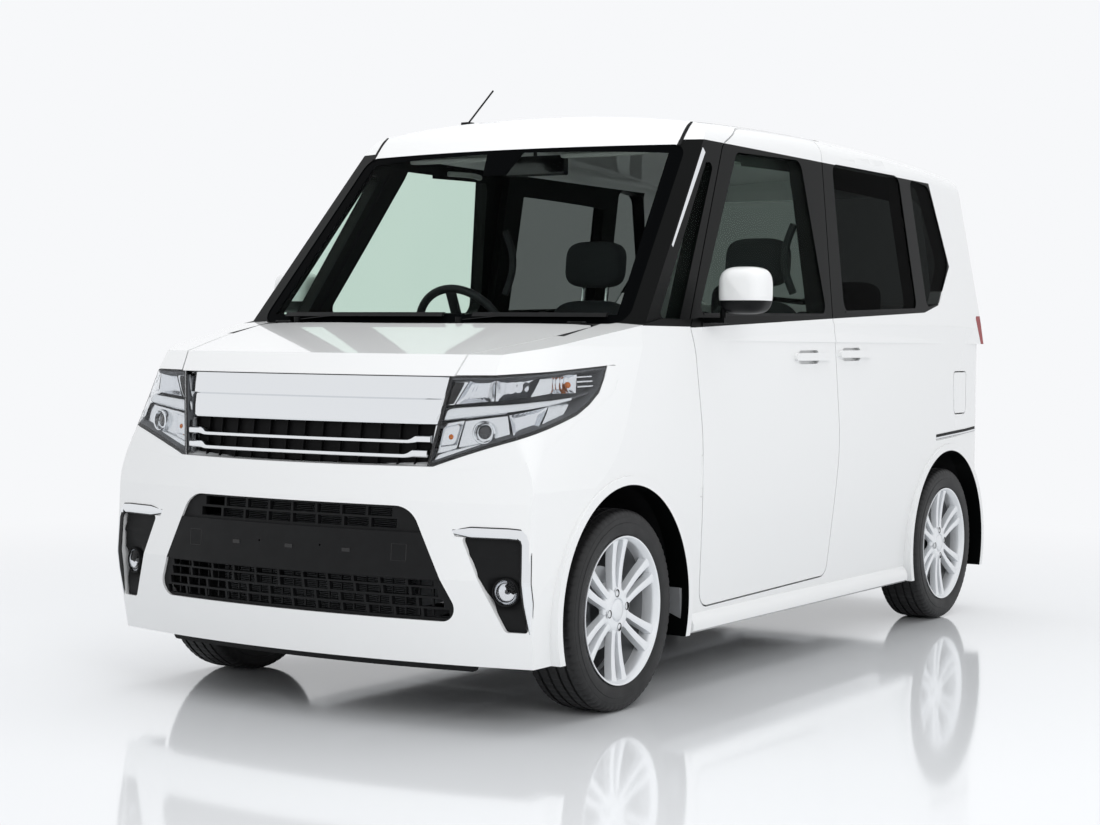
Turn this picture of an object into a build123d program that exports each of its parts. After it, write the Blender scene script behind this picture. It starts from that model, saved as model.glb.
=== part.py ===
"""A five-door, four-seat kei car with sliding rear doors, right-hand drive.

Millimetres. X points to the car's left, Y to its rear, Z up. The origin is on the
floor, under the middle of the length and the width.
"""
from build123d import *
from math import acos, cos, degrees, radians, sin, sqrt, tan
import os

# ---------------------------------------------------------------- driving dimensions
WIDTH = 1475.0
HEIGHT = 1750.0
FRONT_OVERHANG = 575.0
WHEELBASE = 2400.0
REAR_OVERHANG = 420.0
TRACK = 1280.0

TYRE_R = 281.0
TYRE_WIDTH = 165.0
BEAD_R = 192.0
RIM_LIP_R = 207.0
ARCH_R = 347.0
ARCH_LIP = 34.0
FLARE = 26.0
FLAP_WALL = 5.0
FLAP_POCKET = 43.5

SIDE_WALL = 48.0
SIDE_CUT_IN = 172.5
DOOR_CUT_IN = 137.5
ROOF_WALL = 30.0
NOSE_WALL = 40.0
PILLAR_WALL = 26.0
TAIL_WALL = 46.0
BONNET_WALL = 18.0
GLASS_SET_IN = 3.0
GLASS = 5.0
DOOR_GAP = 5.0
RUNNING_GAP = 0.3
PIN_R = 2.5
HINGE_R = 4.5
NOTCH = 1.5

SILL_BOTTOM = 172.0
BELT = 1068.0
COWL_TOP = 1090.0
FLOOR_TOP = 290.0
FLOOR_WALL = 36.0
TUMBLEHOME = 8.1
SIDE_BULGE = 4000.0
ROOF_ARC = 18000.0
ROOF_APEX_Y = 350.0
CROWN_SHARE = 0.84
CROWN_SLOPE = 6.9
RAIL_ARC = 75.0
NOSE_ARC = 2800.0
SCREEN_ARC = 2600.0
SCREEN_RAKE = 0.857
SCREEN_BASE = 586.0
BROW_ARC = 230.0

STEER_TILT = 10.0
STEER_INSET = 75.0
KNUCKLE_DROP = 92.0
KNUCKLE_RISE = 118.0
HUB_R = 14.0

# ---------------------------------------------------------------- derived places
LENGTH = FRONT_OVERHANG + WHEELBASE + REAR_OVERHANG
FRONT = -LENGTH / 2
REAR = LENGTH / 2
FRONT_AXLE = FRONT + FRONT_OVERHANG
REAR_AXLE = FRONT_AXLE + WHEELBASE
HALF_TRACK = TRACK / 2
HALF_WIDTH = WIDTH / 2
SIDE_CUT_X = HALF_WIDTH - SIDE_CUT_IN
DOOR_CUT_X = HALF_WIDTH - DOOR_CUT_IN
FLAP_POCKET_X = HALF_WIDTH - FLAP_POCKET
WINDOW_TOP = HEIGHT - 118
DOOR_TOP = HEIGHT - 36


# ---------------------------------------------------------------- drawing helpers
def outline(points):
    """A closed face through rows of (u, v, corner radius): straight runs and tangent arcs."""
    count = len(points)
    corners = []
    for i, (u, v, radius) in enumerate(points):
        here = Vector(u, v)
        back = (Vector(*points[i - 1][:2]) - here).normalized()
        ahead = (Vector(*points[(i + 1) % count][:2]) - here).normalized()
        half = acos(max(-1.0, min(1.0, back.dot(ahead)))) / 2
        reach = radius / tan(half)
        middle = here + (back + ahead).normalized() * (radius / sin(half) - radius)
        corners.append((here + back * reach, middle, here + ahead * reach, radius))
    edges = []
    for i, (start, middle, end, radius) in enumerate(corners):
        last = corners[i - 1][2]
        if (start - last).length > 1e-5:
            edges.append(Line(last, start))
        if radius > 0:
            edges.append(ThreePointArc(start, middle, end))
    return make_face(edges)


def side_prism(points, low=SIDE_CUT_X, high=WIDTH):
    """Rows of (y, z, radius) pushed along X from low to high."""
    return extrude(Plane.YZ.offset(low) * outline(points), high - low, dir=(1, 0, 0))


def front_prism(points, low, high):
    """Rows of (x, z, radius) pushed along Y from low to high."""
    face = Plane.XZ.offset(-low) * outline(points)
    return extrude(face, high - low, dir=(0, 1, 0))


def plan_prism(points, low, high):
    """Rows of (x, y, radius) pushed up from low to high."""
    return extrude(Plane.XY.offset(low) * outline(points), high - low, dir=(0, 0, 1))


def block(x, y, z):
    """A box from (low, high) pairs."""
    size = Box(x[1] - x[0], y[1] - y[0], z[1] - z[0])
    return Pos((x[0] + x[1]) / 2, (y[0] + y[1]) / 2, (z[0] + z[1]) / 2) * size


def rod(start, end, radius):
    """A round bar between two points."""
    run = Vector(*end) - Vector(*start)
    plane = Plane(origin=start, z_dir=run.normalized())
    return extrude(plane * Circle(radius), run.length)


def mirrored(half):
    """The half and its mirror image in the car's middle plane."""
    return half + mirror(half, about=Plane.YZ)


def both(points):
    """The outline of one half, rows of (x, v, radius), closed by its mirror image."""
    return points + [(-x, v, radius) for x, v, radius in reversed(points) if x > 0]


def hinge(start, end, fixed_to, moving_to):
    """A pin with end lugs for the fixed side, a knuckle for the moving side, and their notch.

    fixed_to and moving_to are the offsets from the axis that each side's web reaches.
    """
    a, b = Vector(*start), Vector(*end)
    run = b - a
    ends = [(a, a + run * 0.2), (b - run * 0.2, b)]
    middle = (a + run * 0.2 + run.normalized() * 1.0, b - run * 0.2 - run.normalized() * 1.0)
    fixed = rod(tuple(a), tuple(b), PIN_R)
    for low, high in ends:
        fixed += rod(tuple(low), tuple(high), HINGE_R)
        fixed += slab_way(low, high, fixed_to)
    moving = rod(tuple(middle[0]), tuple(middle[1]), HINGE_R) + slab_way(*middle, moving_to)
    moving -= rod(tuple(a), tuple(b), PIN_R + RUNNING_GAP)
    return fixed, moving


def slab_way(low, high, way):
    """A web as wide as the knuckle, from the axis line to an offset."""
    way = Vector(*way)
    along = (high - low).normalized()
    across = along.cross(way.normalized())
    half = across * (HINGE_R * 0.7)
    corners = [low - half, low + half, low + half + way, low - half + way]
    face = make_face(Polyline(*[tuple(c) for c in corners], close=True))
    return extrude(face, (high - low).length, dir=tuple(along))


def grown(points, by):
    """Rows of an outline moved out by a gap, with their radii grown to match."""
    area = sum(a[0] * b[1] - b[0] * a[1] for a, b in zip(points, points[1:] + points[:1]))
    turn = 1.0 if area > 0 else -1.0
    moved = []
    for i, (u, v, radius) in enumerate(points):
        before, after = points[i - 1], points[(i + 1) % len(points)]
        a = Vector(u - before[0], v - before[1]).normalized()
        b = Vector(after[0] - u, after[1] - v).normalized()
        normal = Vector(a.Y + b.Y, -a.X - b.X) * turn
        scale = by * 2 / normal.dot(normal)
        inner = turn * (a.X * b.Y - a.Y * b.X) < 0
        moved.append((u + normal.X * scale, v + normal.Y * scale,
                      max(0.0, radius - by) if inner else (radius + by if radius else 0)))
    return moved


def write(name, shape):
    """One STEP file for one sub-part."""
    solids = shape.solids()
    export_step(solids[0] if len(solids) == 1 else Compound(children=list(solids)), f"parts/{name}.step")


# ---------------------------------------------------------------- the body's envelope
RAIL_X = HALF_WIDTH - 107.5
CROWN_RISE = RAIL_X * tan(radians(CROWN_SLOPE))
CROWN_CUT = CROWN_SHARE * RAIL_X / tan(radians(CROWN_SLOPE)) * (1 / cos(radians(CROWN_SLOPE)) - 1)
RAIL_Z = HEIGHT - CROWN_RISE + CROWN_CUT
BELT_X = RAIL_X + (RAIL_Z - BELT) * tan(radians(TUMBLEHOME))


def lower_section(side):
    """The section below the belt, carried straight fore and aft."""
    half = [(HALF_WIDTH - 32 - side, SILL_BOTTOM - 60, 0), (HALF_WIDTH - 4 - side, 650, SIDE_BULGE),
            (BELT_X - side, COWL_TOP + 10, 0)]
    return front_prism(half + [(-x, z, r) for x, z, r in half[::-1]], FRONT - 60, REAR + 60)


def upper_section(side, roof):
    """The section above the belt, carried fore and aft on an arc as flat as the roof is."""
    slope = tan(radians(CROWN_SLOPE))
    lean = tan(radians(TUMBLEHOME))
    base = BELT - 60
    half = [
        (BELT_X - side + (BELT - base) * lean, base, 0),
        (RAIL_X - side, RAIL_Z - roof, RAIL_ARC),
        (0, RAIL_Z - roof + (RAIL_X - side) * slope, CROWN_SHARE * (RAIL_X - side) / slope),
    ]
    face = Plane.XZ.offset(-ROOF_APEX_Y) * outline(half + [(-x, z, r) for x, z, r in half[-2::-1]])
    axis = Axis((0, ROOF_APEX_Y, HEIGHT - ROOF_ARC), (1, 0, 0))
    sweep = degrees(LENGTH * 0.5 / ROOF_ARC)
    return revolve(face.rotate(axis, -sweep), axis, 2 * sweep)


# nose at the middle of the car: y behind the foremost point, z, radius
NOSE = [(46, 130, 0), (0, 400, 0), (12, 600, 0), (62, 930, 0), (98, 985, 0), (650, 1090, 0)]


def turned(points, axis_y):
    """Rows of (y, z, radius) turned about an upright axis, the seam behind the car."""
    face = Plane.YZ * outline(points)
    axis = Axis((0, axis_y, 0), (0, 0, 1))
    return revolve(face.rotate(axis, 180), axis, 360)


def nose(wall, bonnet):
    """Everything below the belt, with the front face and the bonnet curved in plan."""
    axis_y = FRONT + NOSE_ARC
    rows = [(FRONT + y + wall, z - (bonnet if z > 900 else 0), r) for y, z, r in NOSE]
    rows += [(axis_y, COWL_TOP - bonnet, 0), (axis_y, NOSE[0][1], 0)]
    return turned(rows, axis_y)


def fascia(wall):
    """The nose and its corners, set in by a wall, for the pieces below the bonnet."""
    return nose(wall, 0) & plan_limits(wall)


def screen_line(z):
    """The windscreen's y at the middle of the car, at a height."""
    return FRONT + SCREEN_BASE + SCREEN_RAKE * (z - BELT)


def greenhouse(wall, roof):
    """Everything above the belt, with the windscreen and the roof's brow curved in plan."""
    axis_y = FRONT + SCREEN_BASE + SCREEN_ARC
    slope = (ROOF_APEX_Y - screen_line(HEIGHT)) / ROOF_ARC
    brow_z = HEIGHT - (ROOF_APEX_Y - screen_line(HEIGHT)) ** 2 / 2 / ROOF_ARC
    back = wall * sqrt(1 + SCREEN_RAKE ** 2)
    rows = [
        (screen_line(BELT - 40) + back, BELT - 40, 0),
        (screen_line(brow_z) + back - roof * SCREEN_RAKE, brow_z - roof, BROW_ARC),
        (axis_y, brow_z - roof + (axis_y - screen_line(brow_z)) * slope * 1.2, 0),
        (axis_y, BELT - 40, 0),
    ]
    return turned(rows, axis_y)


# tail in side view: y ahead of the rearmost point, z, radius
TAIL = [(12, 100, 0), (0, 260, 60), (0, 520, 60), (22, 640, 60), (40, BELT + 52, 200),
        (118, HEIGHT - 110, 60), (150, HEIGHT + 10, 0)]

# plan corners, low and high on the body: x, y behind the front, radius
CORNER_LOW = [(620, 60, 200), (716, 82, 70), (HALF_WIDTH - 3, 500, 500)]
CORNER_HIGH = [(440, 20, 200), (655, 290, 260), (HALF_WIDTH - 3, 720, 700)]
CORNER_RISE = (630.0, 1010.0)
TAIL_CORNER = [(HALF_WIDTH - 3, 420, 600), (HALF_WIDTH - 34, -2, 110)]


def plan_limits(wall):
    """Upright walls round the four corners, the front ones leaning back with height."""
    def rows(corner):
        front = [(x - wall, FRONT + y + wall, r) for x, y, r in corner]
        back = [(x - wall, REAR - y - wall, r) for x, y, r in TAIL_CORNER]
        return both(front + back)
    low, high = rows(CORNER_LOW), rows(CORNER_HIGH)
    z0, z1 = CORNER_RISE
    low = [(x, y - (60 if i in (0, len(low) - 1) else 0), r) for i, (x, y, r) in enumerate(low)]
    high = [(x, y - (60 if i in (0, len(high) - 1) else 0), r) for i, (x, y, r) in enumerate(high)]
    middle = loft([Plane.XY.offset(z0) * outline(low), Plane.XY.offset(z1) * outline(high)], ruled=True)
    return plan_prism(low, 60, z0) + middle + plan_prism(high, z1, 1900)


def tail(wall):
    """Everything ahead of the tailgate's and the rear bumper's outer face."""
    rows = [(REAR - y - wall, z, r) for y, z, r in TAIL]
    return side_prism([(2 * FRONT, 100, 0)] + rows + [(2 * FRONT, HEIGHT + 10, 0)], -WIDTH, WIDTH)


def envelope(side, roof, front, bonnet, screen, rear):
    """The closed outer form, or one set in by the wall of each region."""
    back = tail(rear)
    lower = lower_section(side) & back & nose(front, bonnet) & plan_limits(front)
    upper = upper_section(side, roof) & back & greenhouse(screen, roof)
    return lower + upper



# ---------------------------------------------------------------- panel outlines
def placed(station, rows):
    """Rows of (distance behind a station, z, radius) as rows of (y, z, radius)."""
    return [(station + distance, z, r) for distance, z, r in rows]


# side view; the edge that both side doors share comes first
SPLIT = placed(FRONT_AXLE, [(1348, 258, 45), (1410, 690, 600), (1370, BELT + 27, 250), (1440, DOOR_TOP, 25)])
FRONT_DOOR = placed(FRONT_AXLE, [
    (458, 243, 50), (438, 760, 900), (398, BELT - 63, 200), (368, BELT, 20),
    (718, HEIGHT - 122, 60), (872, HEIGHT - 58, 200)]) + SPLIT[::-1]
SLIDE_DOOR = placed(DOOR_GAP, SPLIT) + placed(REAR_AXLE, [
    (-277, DOOR_TOP, 60), (-211, BELT + 57, 200), (-137, 770, 150), (-177, 600, 60), (-352, 262, 45)])
FRONT_WINDOW = placed(FRONT_AXLE, [
    (432, BELT + 32, 25), (804, WINDOW_TOP - 20, 40), (1262, WINDOW_TOP - 10, 40), (1330, BELT + 50, 40)])
SLIDE_WINDOW = placed(FRONT_AXLE, [(1474, BELT + 62, 35), (1514, WINDOW_TOP, 40)]) + placed(
    REAR_AXLE, [(-302, WINDOW_TOP, 40), (-272, BELT + 82, 35)])
QUARTER_LIGHT = placed(FRONT_AXLE, [
    (197, BELT + 24, 12), (317, BELT + 20, 12), (640, HEIGHT - 184, 15), (592, HEIGHT - 184, 10)])
REAR_QUARTER = placed(REAR_AXLE, [
    (-172, BELT + 92, 25), (-202, WINDOW_TOP - 4, 30), (-15, WINDOW_TOP - 18, 60), (98, BELT + 262, 60),
    (-42, BELT + 107, 40)])
FUEL_FLAP = placed(REAR_AXLE, [(54, 767, 16), (54, 920, 16), (195, 920, 16), (195, 767, 16)])
BUMPER_LINE = placed(FRONT_AXLE, [
    (-60, 603, 20), (-92, 648, 40), (-182, 743, 60), (-219, 817, 0), (-498, 692, 0), (-640, 680, 0)])
FRONT_BUMPER = BUMPER_LINE + placed(FRONT_AXLE, [(-640, 100, 0), (-60, 100, 0)])
HEADLAMP = placed(FRONT_AXLE, [
    (-640, 680, 0), (-498, 692, 0), (-219, 817, 0), (-178, 822, 40),
    (-54, 885, 40), (-12, 962, 20), (-478, 930, 0), (-640, 928, 0)])
TAIL_LAMP = placed(REAR, [(-93, 1136, 12), (-39, 911, 60), (-57, 830, 12), (60, 830, 0), (60, 1136, 0)])
REAR_BUMPER = placed(REAR, [(-197, 100, 0), (-97, 470, 40), (-97, 563, 0), (60, 563, 0), (60, 100, 0)])
SLIDE_RAIL = placed(REAR_AXLE, [(-126, 669, 3), (361, 691, 3), (361, 716, 3), (-126, 694, 3)])
RAIL_DEPTH = 13.0
HANDLE_PROUD = 12.0
# the pull handles: from and to along the side, height, and the end that has the lock
HANDLES = {"door": (FRONT_AXLE + 1062, FRONT_AXLE + 1320, 980),
           "slide_door": (FRONT_AXLE + 1402, FRONT_AXLE + 1658, 989)}

# front and rear views, rows of (x, z, radius) for the left half
SCREEN = [(HALF_WIDTH - 74, BELT + 4, 40), (HALF_WIDTH - 144, HEIGHT - 132, 45)]
LAMP_INNER = [(418, 680), (463, 928)]
GRILLE_PANEL_Z = 800.0
GRILLE_SLATS = [(684, 709), (720, 748), (760, GRILLE_PANEL_Z)]
GRILLE_DEPTH = 26.0
LOWER_OPENING = [(382, 586, 75), (530, 287, 38)]
PLATE_BAND = (398.0, 518.0)
MESH_ROWS = [(296, 318), (324, 346), (352, 374), (379, 394), (526, 550), (556, 580)]
MESH_PITCH = 78.0
MESH_BAR = 8.0
MESH_SET_IN = 8.0
MESH_DEPTH = 14.0
FOG_HOLE = [(528, 514, 10), (692, 514, 16), (704, 268, 10), (642, 268, 12)]
FOG_TRIM = [(500, 531, 3), (713, 531, 20), (722, 262, 4), (702, 262, 3), (690, 512, 14), (512, 512, 6)]
FOG_SET_IN = 12.0
FOG_TRIM_PROUD = 2.0
FOG_TRIM_DEPTH = 7.0
FOG_TRIM_BACK = 90.0
FOG_LAMP = (657.0, 373.0, 36.0)
LIP = (150.0, 205.0)
LIP_HALF = 545.0
TAILGATE_FOOT = 568.0
TAILGATE = [(HALF_WIDTH - 141.5, TAILGATE_FOOT, 70), (HALF_WIDTH - 125.5, BELT + 72, 200),
            (HALF_WIDTH - 177.5, HEIGHT + 50, 0)]
TAILGATE_WINDOW = [(HALF_WIDTH - 207.5, BELT + 112, 60), (HALF_WIDTH - 245.5, HEIGHT - 150, 70)]
TAILGATE_FRONT = REAR - 192.5
TAIL_LAMP_INNER = HALF_WIDTH - 115.5

# plan view, rows of (x, y, radius) for the left half
BONNET_REAR = FRONT_AXLE + 44.5
BONNET = [(463, FRONT - 80, 0), (470, FRONT + 97, 0), (560, FRONT + 367, 500), (600, BONNET_REAR, 30),
          (0, BONNET_REAR - 87, 1400)]
BONNET_FRONT_Z = 928.0
COWL_HALF = 600.0


def axle_cylinder(y, radius, low, high):
    """A cylinder along X about an axle."""
    return rod((low, y, TYRE_R), (high, y, TYRE_R), radius)


# ---------------------------------------------------------------- body shell
def shell_pieces():
    """The painted panels, doors, lids and glass, cut from one shell."""
    outer = envelope(0, 0, 0, 0, 0, 0)
    for axle in (FRONT_AXLE, REAR_AXLE):
        for side in (1, -1):
            outer += axle_cylinder(axle, ARCH_R + FLARE, side * 640, side * HALF_WIDTH)
    outer &= block((-WIDTH, WIDTH), (-LENGTH, LENGTH), (SILL_BOTTOM, 2000))
    inner = envelope(SIDE_WALL, ROOF_WALL, NOSE_WALL, BONNET_WALL, PILLAR_WALL, TAIL_WALL)
    set_in = GLASS_SET_IN
    glass = envelope(*[set_in] * 6) - envelope(*[set_in + GLASS] * 6)
    shell = outer - inner
    pieces = {}

    # openings for the wheels
    for axle in (FRONT_AXLE, REAR_AXLE):
        for side in (1, -1):
            shell -= axle_cylinder(axle, ARCH_R, side * 380, side * WIDTH)

    left = block((0, WIDTH), (-LENGTH, LENGTH), (0, 2000))
    sides_window = [FRONT_WINDOW, SLIDE_WINDOW, QUARTER_LIGHT, REAR_QUARTER]
    panes = {name: glass & side_prism(rows) for name, rows in zip(
        ("front", "slide", "quarter", "rear"), sides_window)}

    screen_hole = front_prism(both(SCREEN), FRONT + 250, FRONT + 1500)
    pieces["windscreen"] = glass & screen_hole
    shell -= screen_hole

    # tailgate
    gate = front_prism(both(TAILGATE), TAILGATE_FRONT, REAR + 60)
    gate_hole = front_prism(both(grown_half(TAILGATE)), TAILGATE_FRONT - DOOR_GAP, REAR + 60)
    gate_window = front_prism(both(TAILGATE_WINDOW), TAILGATE_FRONT, REAR + 60)
    pieces["tailgate"] = (shell & gate) - gate_window
    pieces["tailgate_glass"] = glass & gate_window
    shell -= gate_hole

    # bonnet
    above = block((-WIDTH, WIDTH), (-LENGTH, LENGTH), (BONNET_FRONT_Z, 2000))
    bonnet_hole_rows = [(x + (DOOR_GAP if x else 0), y + (DOOR_GAP if i > 2 else 0), r)
                        for i, (x, y, r) in enumerate(BONNET)]
    pieces["bonnet"] = shell & plan_prism(both(BONNET), BONNET_FRONT_Z, COWL_TOP + 30)
    shell -= plan_prism(both(bonnet_hole_rows), BONNET_FRONT_Z - DOOR_GAP, COWL_TOP + 30)

    # side doors, left; the right ones are their mirror image
    door = shell & side_prism(FRONT_DOOR, DOOR_CUT_X)
    pieces["door"] = handled(door - side_prism(FRONT_WINDOW), *HANDLES["door"])
    pieces["door_glass"] = panes["front"]
    arch_edge = axle_cylinder(REAR_AXLE, ARCH_R + ARCH_LIP, 300, WIDTH)
    slide = (shell & side_prism(SLIDE_DOOR, DOOR_CUT_X)) - arch_edge
    pieces["slide_door"] = handled(slide - side_prism(SLIDE_WINDOW), *HANDLES["slide_door"])
    pieces["slide_glass"] = panes["slide"]
    hole = side_prism(grown(FRONT_DOOR, DOOR_GAP), DOOR_CUT_X - DOOR_GAP)
    shell -= hole + mirror(hole, about=Plane.YZ)
    slide_solid = side_prism(SLIDE_DOOR, DOOR_CUT_X) - arch_edge
    shell -= slide_solid + mirror(slide_solid, about=Plane.YZ)
    for rows in (QUARTER_LIGHT, REAR_QUARTER):
        cut = side_prism(rows)
        shell -= cut + mirror(cut, about=Plane.YZ)
    pieces["fixed_glass"] = panes["quarter"] + panes["rear"]

    # front end
    lamp_cut = plan_or_lamp_side()
    bumper = shell & side_prism(FRONT_BUMPER, -WIDTH)
    shell -= side_prism(FRONT_BUMPER, -WIDTH)
    lamps = (shell & side_prism(HEADLAMP, -WIDTH)) - lamp_cut
    pieces["headlamps"] = lamps
    shell -= side_prism(HEADLAMP, -WIDTH) - lamp_cut
    middle = block((-500, 500), (FRONT - 60, FRONT + 200), (680, BONNET_FRONT_Z - DOOR_GAP))
    pieces["upper_grille"] = (shell & middle) - (grille_slots() - fascia(GRILLE_DEPTH))
    shell -= middle
    set_in = fascia(MESH_SET_IN)
    band = block((-WIDTH, WIDTH), (-LENGTH, 0), PLATE_BAND)
    sheet = set_in + (fascia(0) & band) - fascia(MESH_SET_IN + MESH_DEPTH)
    pieces["lower_grille"] = lower_grille(sheet)
    fog_hole = mirrored(front_prism(FOG_HOLE, FRONT - 60, FRONT + 160))
    trim_zone = mirrored(front_prism(FOG_TRIM, FRONT - 60, FRONT + FOG_TRIM_BACK + RUNNING_GAP))
    bumper -= front_prism(both(LOWER_OPENING), FRONT - 60, FRONT + 200) + fog_hole
    rebate = fascia(FOG_TRIM_DEPTH)
    pieces["front_bumper"] = bumper - (trim_zone - rebate)
    pieces["fog_lamps"] = fog_lamps()
    lip = front_prism(both([(LIP_HALF, LIP[1], 0), (LIP_HALF - 20, LIP[0], 12)]), FRONT - 60, FRONT + 200)
    pieces["front_lip"] = (fascia(NOSE_WALL + RUNNING_GAP) - fascia(NOSE_WALL + 12)) & lip

    # rear end
    lamp_side = side_prism(TAIL_LAMP, TAIL_LAMP_INNER) + side_prism(TAIL_LAMP, -WIDTH, -TAIL_LAMP_INNER)
    pieces["tail_lamps"] = shell & lamp_side
    shell -= lamp_side
    pieces["rear_bumper"] = shell & side_prism(REAR_BUMPER, -WIDTH)
    shell -= side_prism(REAR_BUMPER, -WIDTH)

    # the grooves that the sliding doors' rear arms run in
    groove = side_prism(SLIDE_RAIL, HALF_WIDTH - 4 - RAIL_DEPTH, WIDTH)
    shell -= groove + mirror(groove, about=Plane.YZ)

    # fuel flap and its pocket
    skin = outer - envelope(*[FLAP_WALL] * 6)
    pieces["fuel_lid"] = skin & side_prism(FUEL_FLAP)
    shell -= side_prism(grown(FUEL_FLAP, DOOR_GAP), FLAP_POCKET_X)

    # the rest: roof, fenders, cowl and the two sides
    roof_zone = block((-SIDE_CUT_X, SIDE_CUT_X), (FRONT_AXLE + 422, TAILGATE_FRONT),
                      (HEIGHT - 210, HEIGHT + 50))
    pieces["roof"] = shell & roof_zone
    shell -= roof_zone
    cowl_zone = block((-COWL_HALF, COWL_HALF), (BONNET_REAR - 180, BONNET_REAR + 178), (900, BELT + 62))
    pieces["cowl"] = shell & cowl_zone
    shell -= cowl_zone
    fender_zone = block((-WIDTH, WIDTH), (-LENGTH, FRONT_AXLE + 482), (0, BELT))
    pieces["fenders"] = shell & fender_zone
    shell -= fender_zone
    pieces["sides"] = shell
    return pieces, inner


def handled(door, start, end, z):
    """A door with its pull handle, a bar over a pocket."""
    surface = BELT_X + 4
    pocket = side_prism([(start + 34, z - 24, 18), (start + 34, z + 20, 18), (end - 70, z + 22, 18),
                         (end - 70, z - 22, 18)], surface - 16, WIDTH)
    bar = side_prism([(start, z - 12, 9), (start, z + 12, 9), (end, z + 14, 12), (end, z - 12, 12)],
                     surface - 8, surface + HANDLE_PROUD)
    return door - pocket + bar


def grown_half(rows):
    """A half outline's rows moved out by the door gap at its sides and foot."""
    return [(x + DOOR_GAP, z - (DOOR_GAP if i == 0 else 0), r) for i, (x, z, r) in enumerate(rows)]


def plan_or_lamp_side():
    """The zone between the headlamps' inner edges."""
    edge = lamp_edge(0, LAMP_INNER[0][1] - 100, LAMP_INNER[1][1] + 100)
    return front_prism(both(edge), FRONT - 60, FRONT + 400)


def lamp_edge(inside, low, high):
    """Two rows along the headlamps' inner edge, a distance inside it, between two heights."""
    (x0, z0), (x1, z1) = LAMP_INNER
    rise = (x1 - x0) / (z1 - z0)
    return [(x0 + (z - z0) * rise - inside, z, 0) for z in (low, high)]


def grille_slots():
    """The dark slots between the upper grille's slats."""
    slots = [front_prism(both(lamp_edge(14, low, high)), FRONT - 60, FRONT + 120)
             for low, high in GRILLE_SLATS]
    return slots[0] + slots[1] + slots[2]


def lower_grille(sheet):
    """The black insert of the lower opening: plate band and open mesh, in one sheet."""
    insert = sheet & front_prism(grown(both(LOWER_OPENING), -RUNNING_GAP), FRONT - 60, FRONT + 200)
    holes = None
    (top_x, top_z, _), (foot_x, foot_z, _) = LOWER_OPENING
    for low, high in MESH_ROWS:
        rim = 22 if high < PLATE_BAND[0] else 58
        edge = top_x + (top_z - high) * (foot_x - top_x) / (top_z - foot_z) - rim
        count = int(2 * edge / MESH_PITCH)
        pitch = 2 * edge / count
        for i in range(count):
            start = -edge + i * pitch
            cell = (start + MESH_BAR / 2, start + pitch - MESH_BAR / 2)
            hole = block(cell, (FRONT - 60, FRONT + 200), (low, high))
            holes = hole if holes is None else holes + hole
    return insert - holes


def fog_lamps():
    """Both fog lamp pieces: a set-in panel, the bright trim round it and the round lamp."""
    panel_zone = front_prism(grown(FOG_HOLE, -RUNNING_GAP), FRONT - 60, FRONT + 130)
    trim_zone = front_prism(grown(FOG_TRIM, -RUNNING_GAP), FRONT - 60, FRONT + FOG_TRIM_BACK)
    deep = fascia(FOG_SET_IN + 22)
    panel = (fascia(FOG_SET_IN) - deep) & panel_zone
    trim = (fascia(-FOG_TRIM_PROUD) - fascia(FOG_TRIM_DEPTH - RUNNING_GAP)) & trim_zone
    link = (fascia(FOG_TRIM_DEPTH - 2) - deep) & trim_zone & panel_zone
    x, z, r = FOG_LAMP
    lamp = rod((x, FRONT + 74, z), (x, FRONT + 130, z), r) & panel_zone
    return mirrored(panel + trim + link + lamp)


# ---------------------------------------------------------------- wheels and running gear
# half of the section: share of the width, radius
TYRE_SECTION = [(0.5, RIM_LIP_R + RUNNING_GAP), (0.5, TYRE_R - 13), (0.43, TYRE_R)]
SPOKE_PAIRS = 6
SPOKE_WIDTH = 18.0
SPOKE_LEAN = 9.0
SPOKE_FACE_X = 52.0
HUB_FACE_R = 73.0
DISC_R = 118.0
DISC_X = (626.0, 636.0)
HUB_X = (640.0, 700.0)
STUB_END_X = 692.0
STEER_X = HALF_TRACK - STEER_INSET


def tyre():
    """A tyre about the X axis, centred on the origin."""
    rows = [(share * TYRE_WIDTH, r, 0) for share, r in TYRE_SECTION]
    face = outline(rows + [(-x, r, 0) for x, r, _ in rows[::-1]])
    return revolve(face, Axis.X, 360)


def rim(disc_width):
    """A road wheel about the X axis, its face towards +X, with its brake disc or drum."""
    edge = TYRE_WIDTH / 2
    profile = [(-edge + 8, BEAD_R, 0), (-edge + 8, RIM_LIP_R, 0), (edge - 1.5, RIM_LIP_R, 0),
               (edge - 1.5, BEAD_R, 0)]
    wheel = revolve(outline(profile), Axis.X, 360)
    inner, outer = HUB_X[0] - HALF_TRACK, HUB_X[1] - HALF_TRACK
    disc = DISC_X[0] - HALF_TRACK
    bore = HUB_R + RUNNING_GAP
    hub_rows = [(disc, bore, 0), (disc, DISC_R, 0), (disc + disc_width, DISC_R, 0),
                (disc + disc_width, HUB_FACE_R, 0), (outer, HUB_FACE_R, 0), (outer + 6, 40, 0),
                (outer + 6, 0, 0), (outer - 6, 0, 0), (outer - 6, bore, 0)]
    wheel += revolve(outline(hub_rows), Axis.X, 360)
    half = SPOKE_WIDTH / 2
    spoke = block((SPOKE_FACE_X - 14, SPOKE_FACE_X + 10), (-half, half), (HUB_FACE_R - 8, BEAD_R + 6))
    for i in range(SPOKE_PAIRS):
        for lean in (-SPOKE_LEAN, SPOKE_LEAN):
            wheel += spoke.rotate(Axis.X, 360 / SPOKE_PAIRS * i + lean)
    return wheel


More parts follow.
